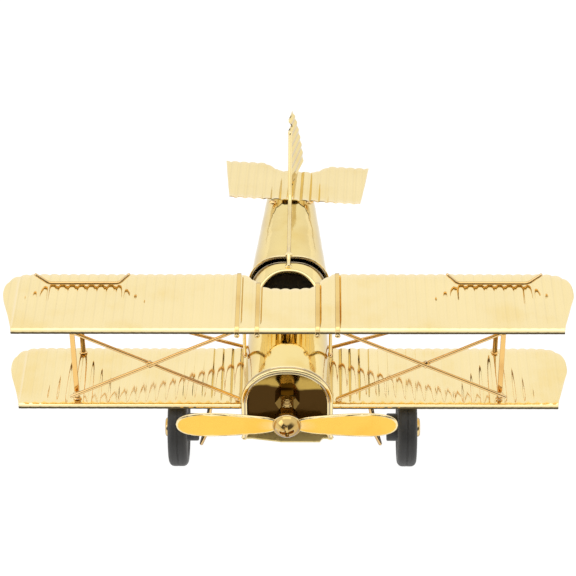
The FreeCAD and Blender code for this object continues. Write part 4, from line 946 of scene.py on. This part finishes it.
# ---------------------------------------------------------------- stage, light and camera
floor_mesh = bpy.data.meshes.new("floor")
floor_mesh.from_pydata([(-3, -3, 0), (3, -3, 0), (3, 3, 0), (-3, 3, 0)], [], [(0, 1, 2, 3)])
floor = bpy.data.objects.new("floor", floor_mesh)
bpy.context.scene.collection.objects.link(floor)
white = bpy.data.materials.new("pale_floor")
white.use_nodes = True
shader = white.node_tree.nodes["Principled BSDF"]
shader.inputs["Base Color"].default_value = (0.12, 0.12, 0.12, 1)
shader.inputs["Roughness"].default_value = 0.8
shader.inputs["Emission Color"].default_value = (1, 1, 1, 1)
shader.inputs["Emission Strength"].default_value = 0.97
floor_mesh.materials.append(white)

world = bpy.data.worlds.new("studio")
bpy.context.scene.world = world
world.use_nodes = True
new, link = node_tools(world)
compass = new("ShaderNodeSeparateXYZ")
link(new("ShaderNodeTexCoord").outputs["Generated"], compass.inputs[0])


def step_between(socket, low, high):
    """0 below low and 1 above high; low may be the larger one."""
    node = new("ShaderNodeMapRange", interpolation_type="SMOOTHSTEP")
    node.inputs["From Min"].default_value, node.inputs["From Max"].default_value = low, high
    link(socket, node.inputs["Value"])
    return node.outputs["Result"]


def times(a, b):
    node = new("ShaderNodeMath", operation="MULTIPLY")
    link(a, node.inputs[0])
    link(b, node.inputs[1])
    return node.outputs[0]


in_front = step_between(compass.outputs["Y"], -0.15, -0.55)
above_table = step_between(compass.outputs["Z"], 0.10, 0.28)
below_roof = step_between(compass.outputs["Z"], 0.86, 0.70)
shade = times(times(in_front, above_table), below_roof)
sky = ramp(new, [(0.0, (1.0, 1.0, 1.0)), (1.0, (0.10, 0.09, 0.08))])
link(shade, sky.inputs["Fac"])
background = world.node_tree.nodes["Background"]
link(sky.outputs["Color"], background.inputs["Color"])
background.inputs["Strength"].default_value = 1.0


def softbox(name, where, look_at, width, height, power):
    data = bpy.data.lights.new(name, "AREA")
    data.shape = "RECTANGLE"
    data.size, data.size_y, data.energy = width, height, power
    lamp = bpy.data.objects.new(name, data)
    bpy.context.scene.collection.objects.link(lamp)
    lamp.location = where
    lamp.rotation_euler = (Vector(look_at) - Vector(where)).to_track_quat("-Z", "Y").to_euler()


softbox("overhead", (0, 0.35, 1.3), (0, 0, 0.05), 1.6, 1.0, 3)
softbox("key_left", (-1.1, -0.5, 0.9), (0, 0, 0.05), 0.7, 0.9, 2)

ELEVATION, AZIMUTH, ROLL, DISTANCE = math.radians(51), math.radians(1.2), math.radians(-0.9), 1.060
camera = bpy.data.objects.new("camera", bpy.data.cameras.new("camera"))
bpy.context.scene.collection.objects.link(camera)
target = (STANCE @ Vector((0, 0, 0))) * MM
away = Vector((math.sin(AZIMUTH) * math.cos(ELEVATION), -math.cos(AZIMUTH) * math.cos(ELEVATION),
               math.sin(ELEVATION)))
camera.location = target + DISTANCE * away
aim = (-away).to_track_quat("-Z", "Y").to_matrix() @ Matrix.Rotation(ROLL, 3, "Z")
camera.rotation_euler = aim.to_euler()
camera.data.sensor_width = 36
camera.data.lens = 138.4
camera.data.clip_start = 0.05
bpy.context.scene.camera = camera
bpy.context.scene.view_settings.view_transform = "Standard"
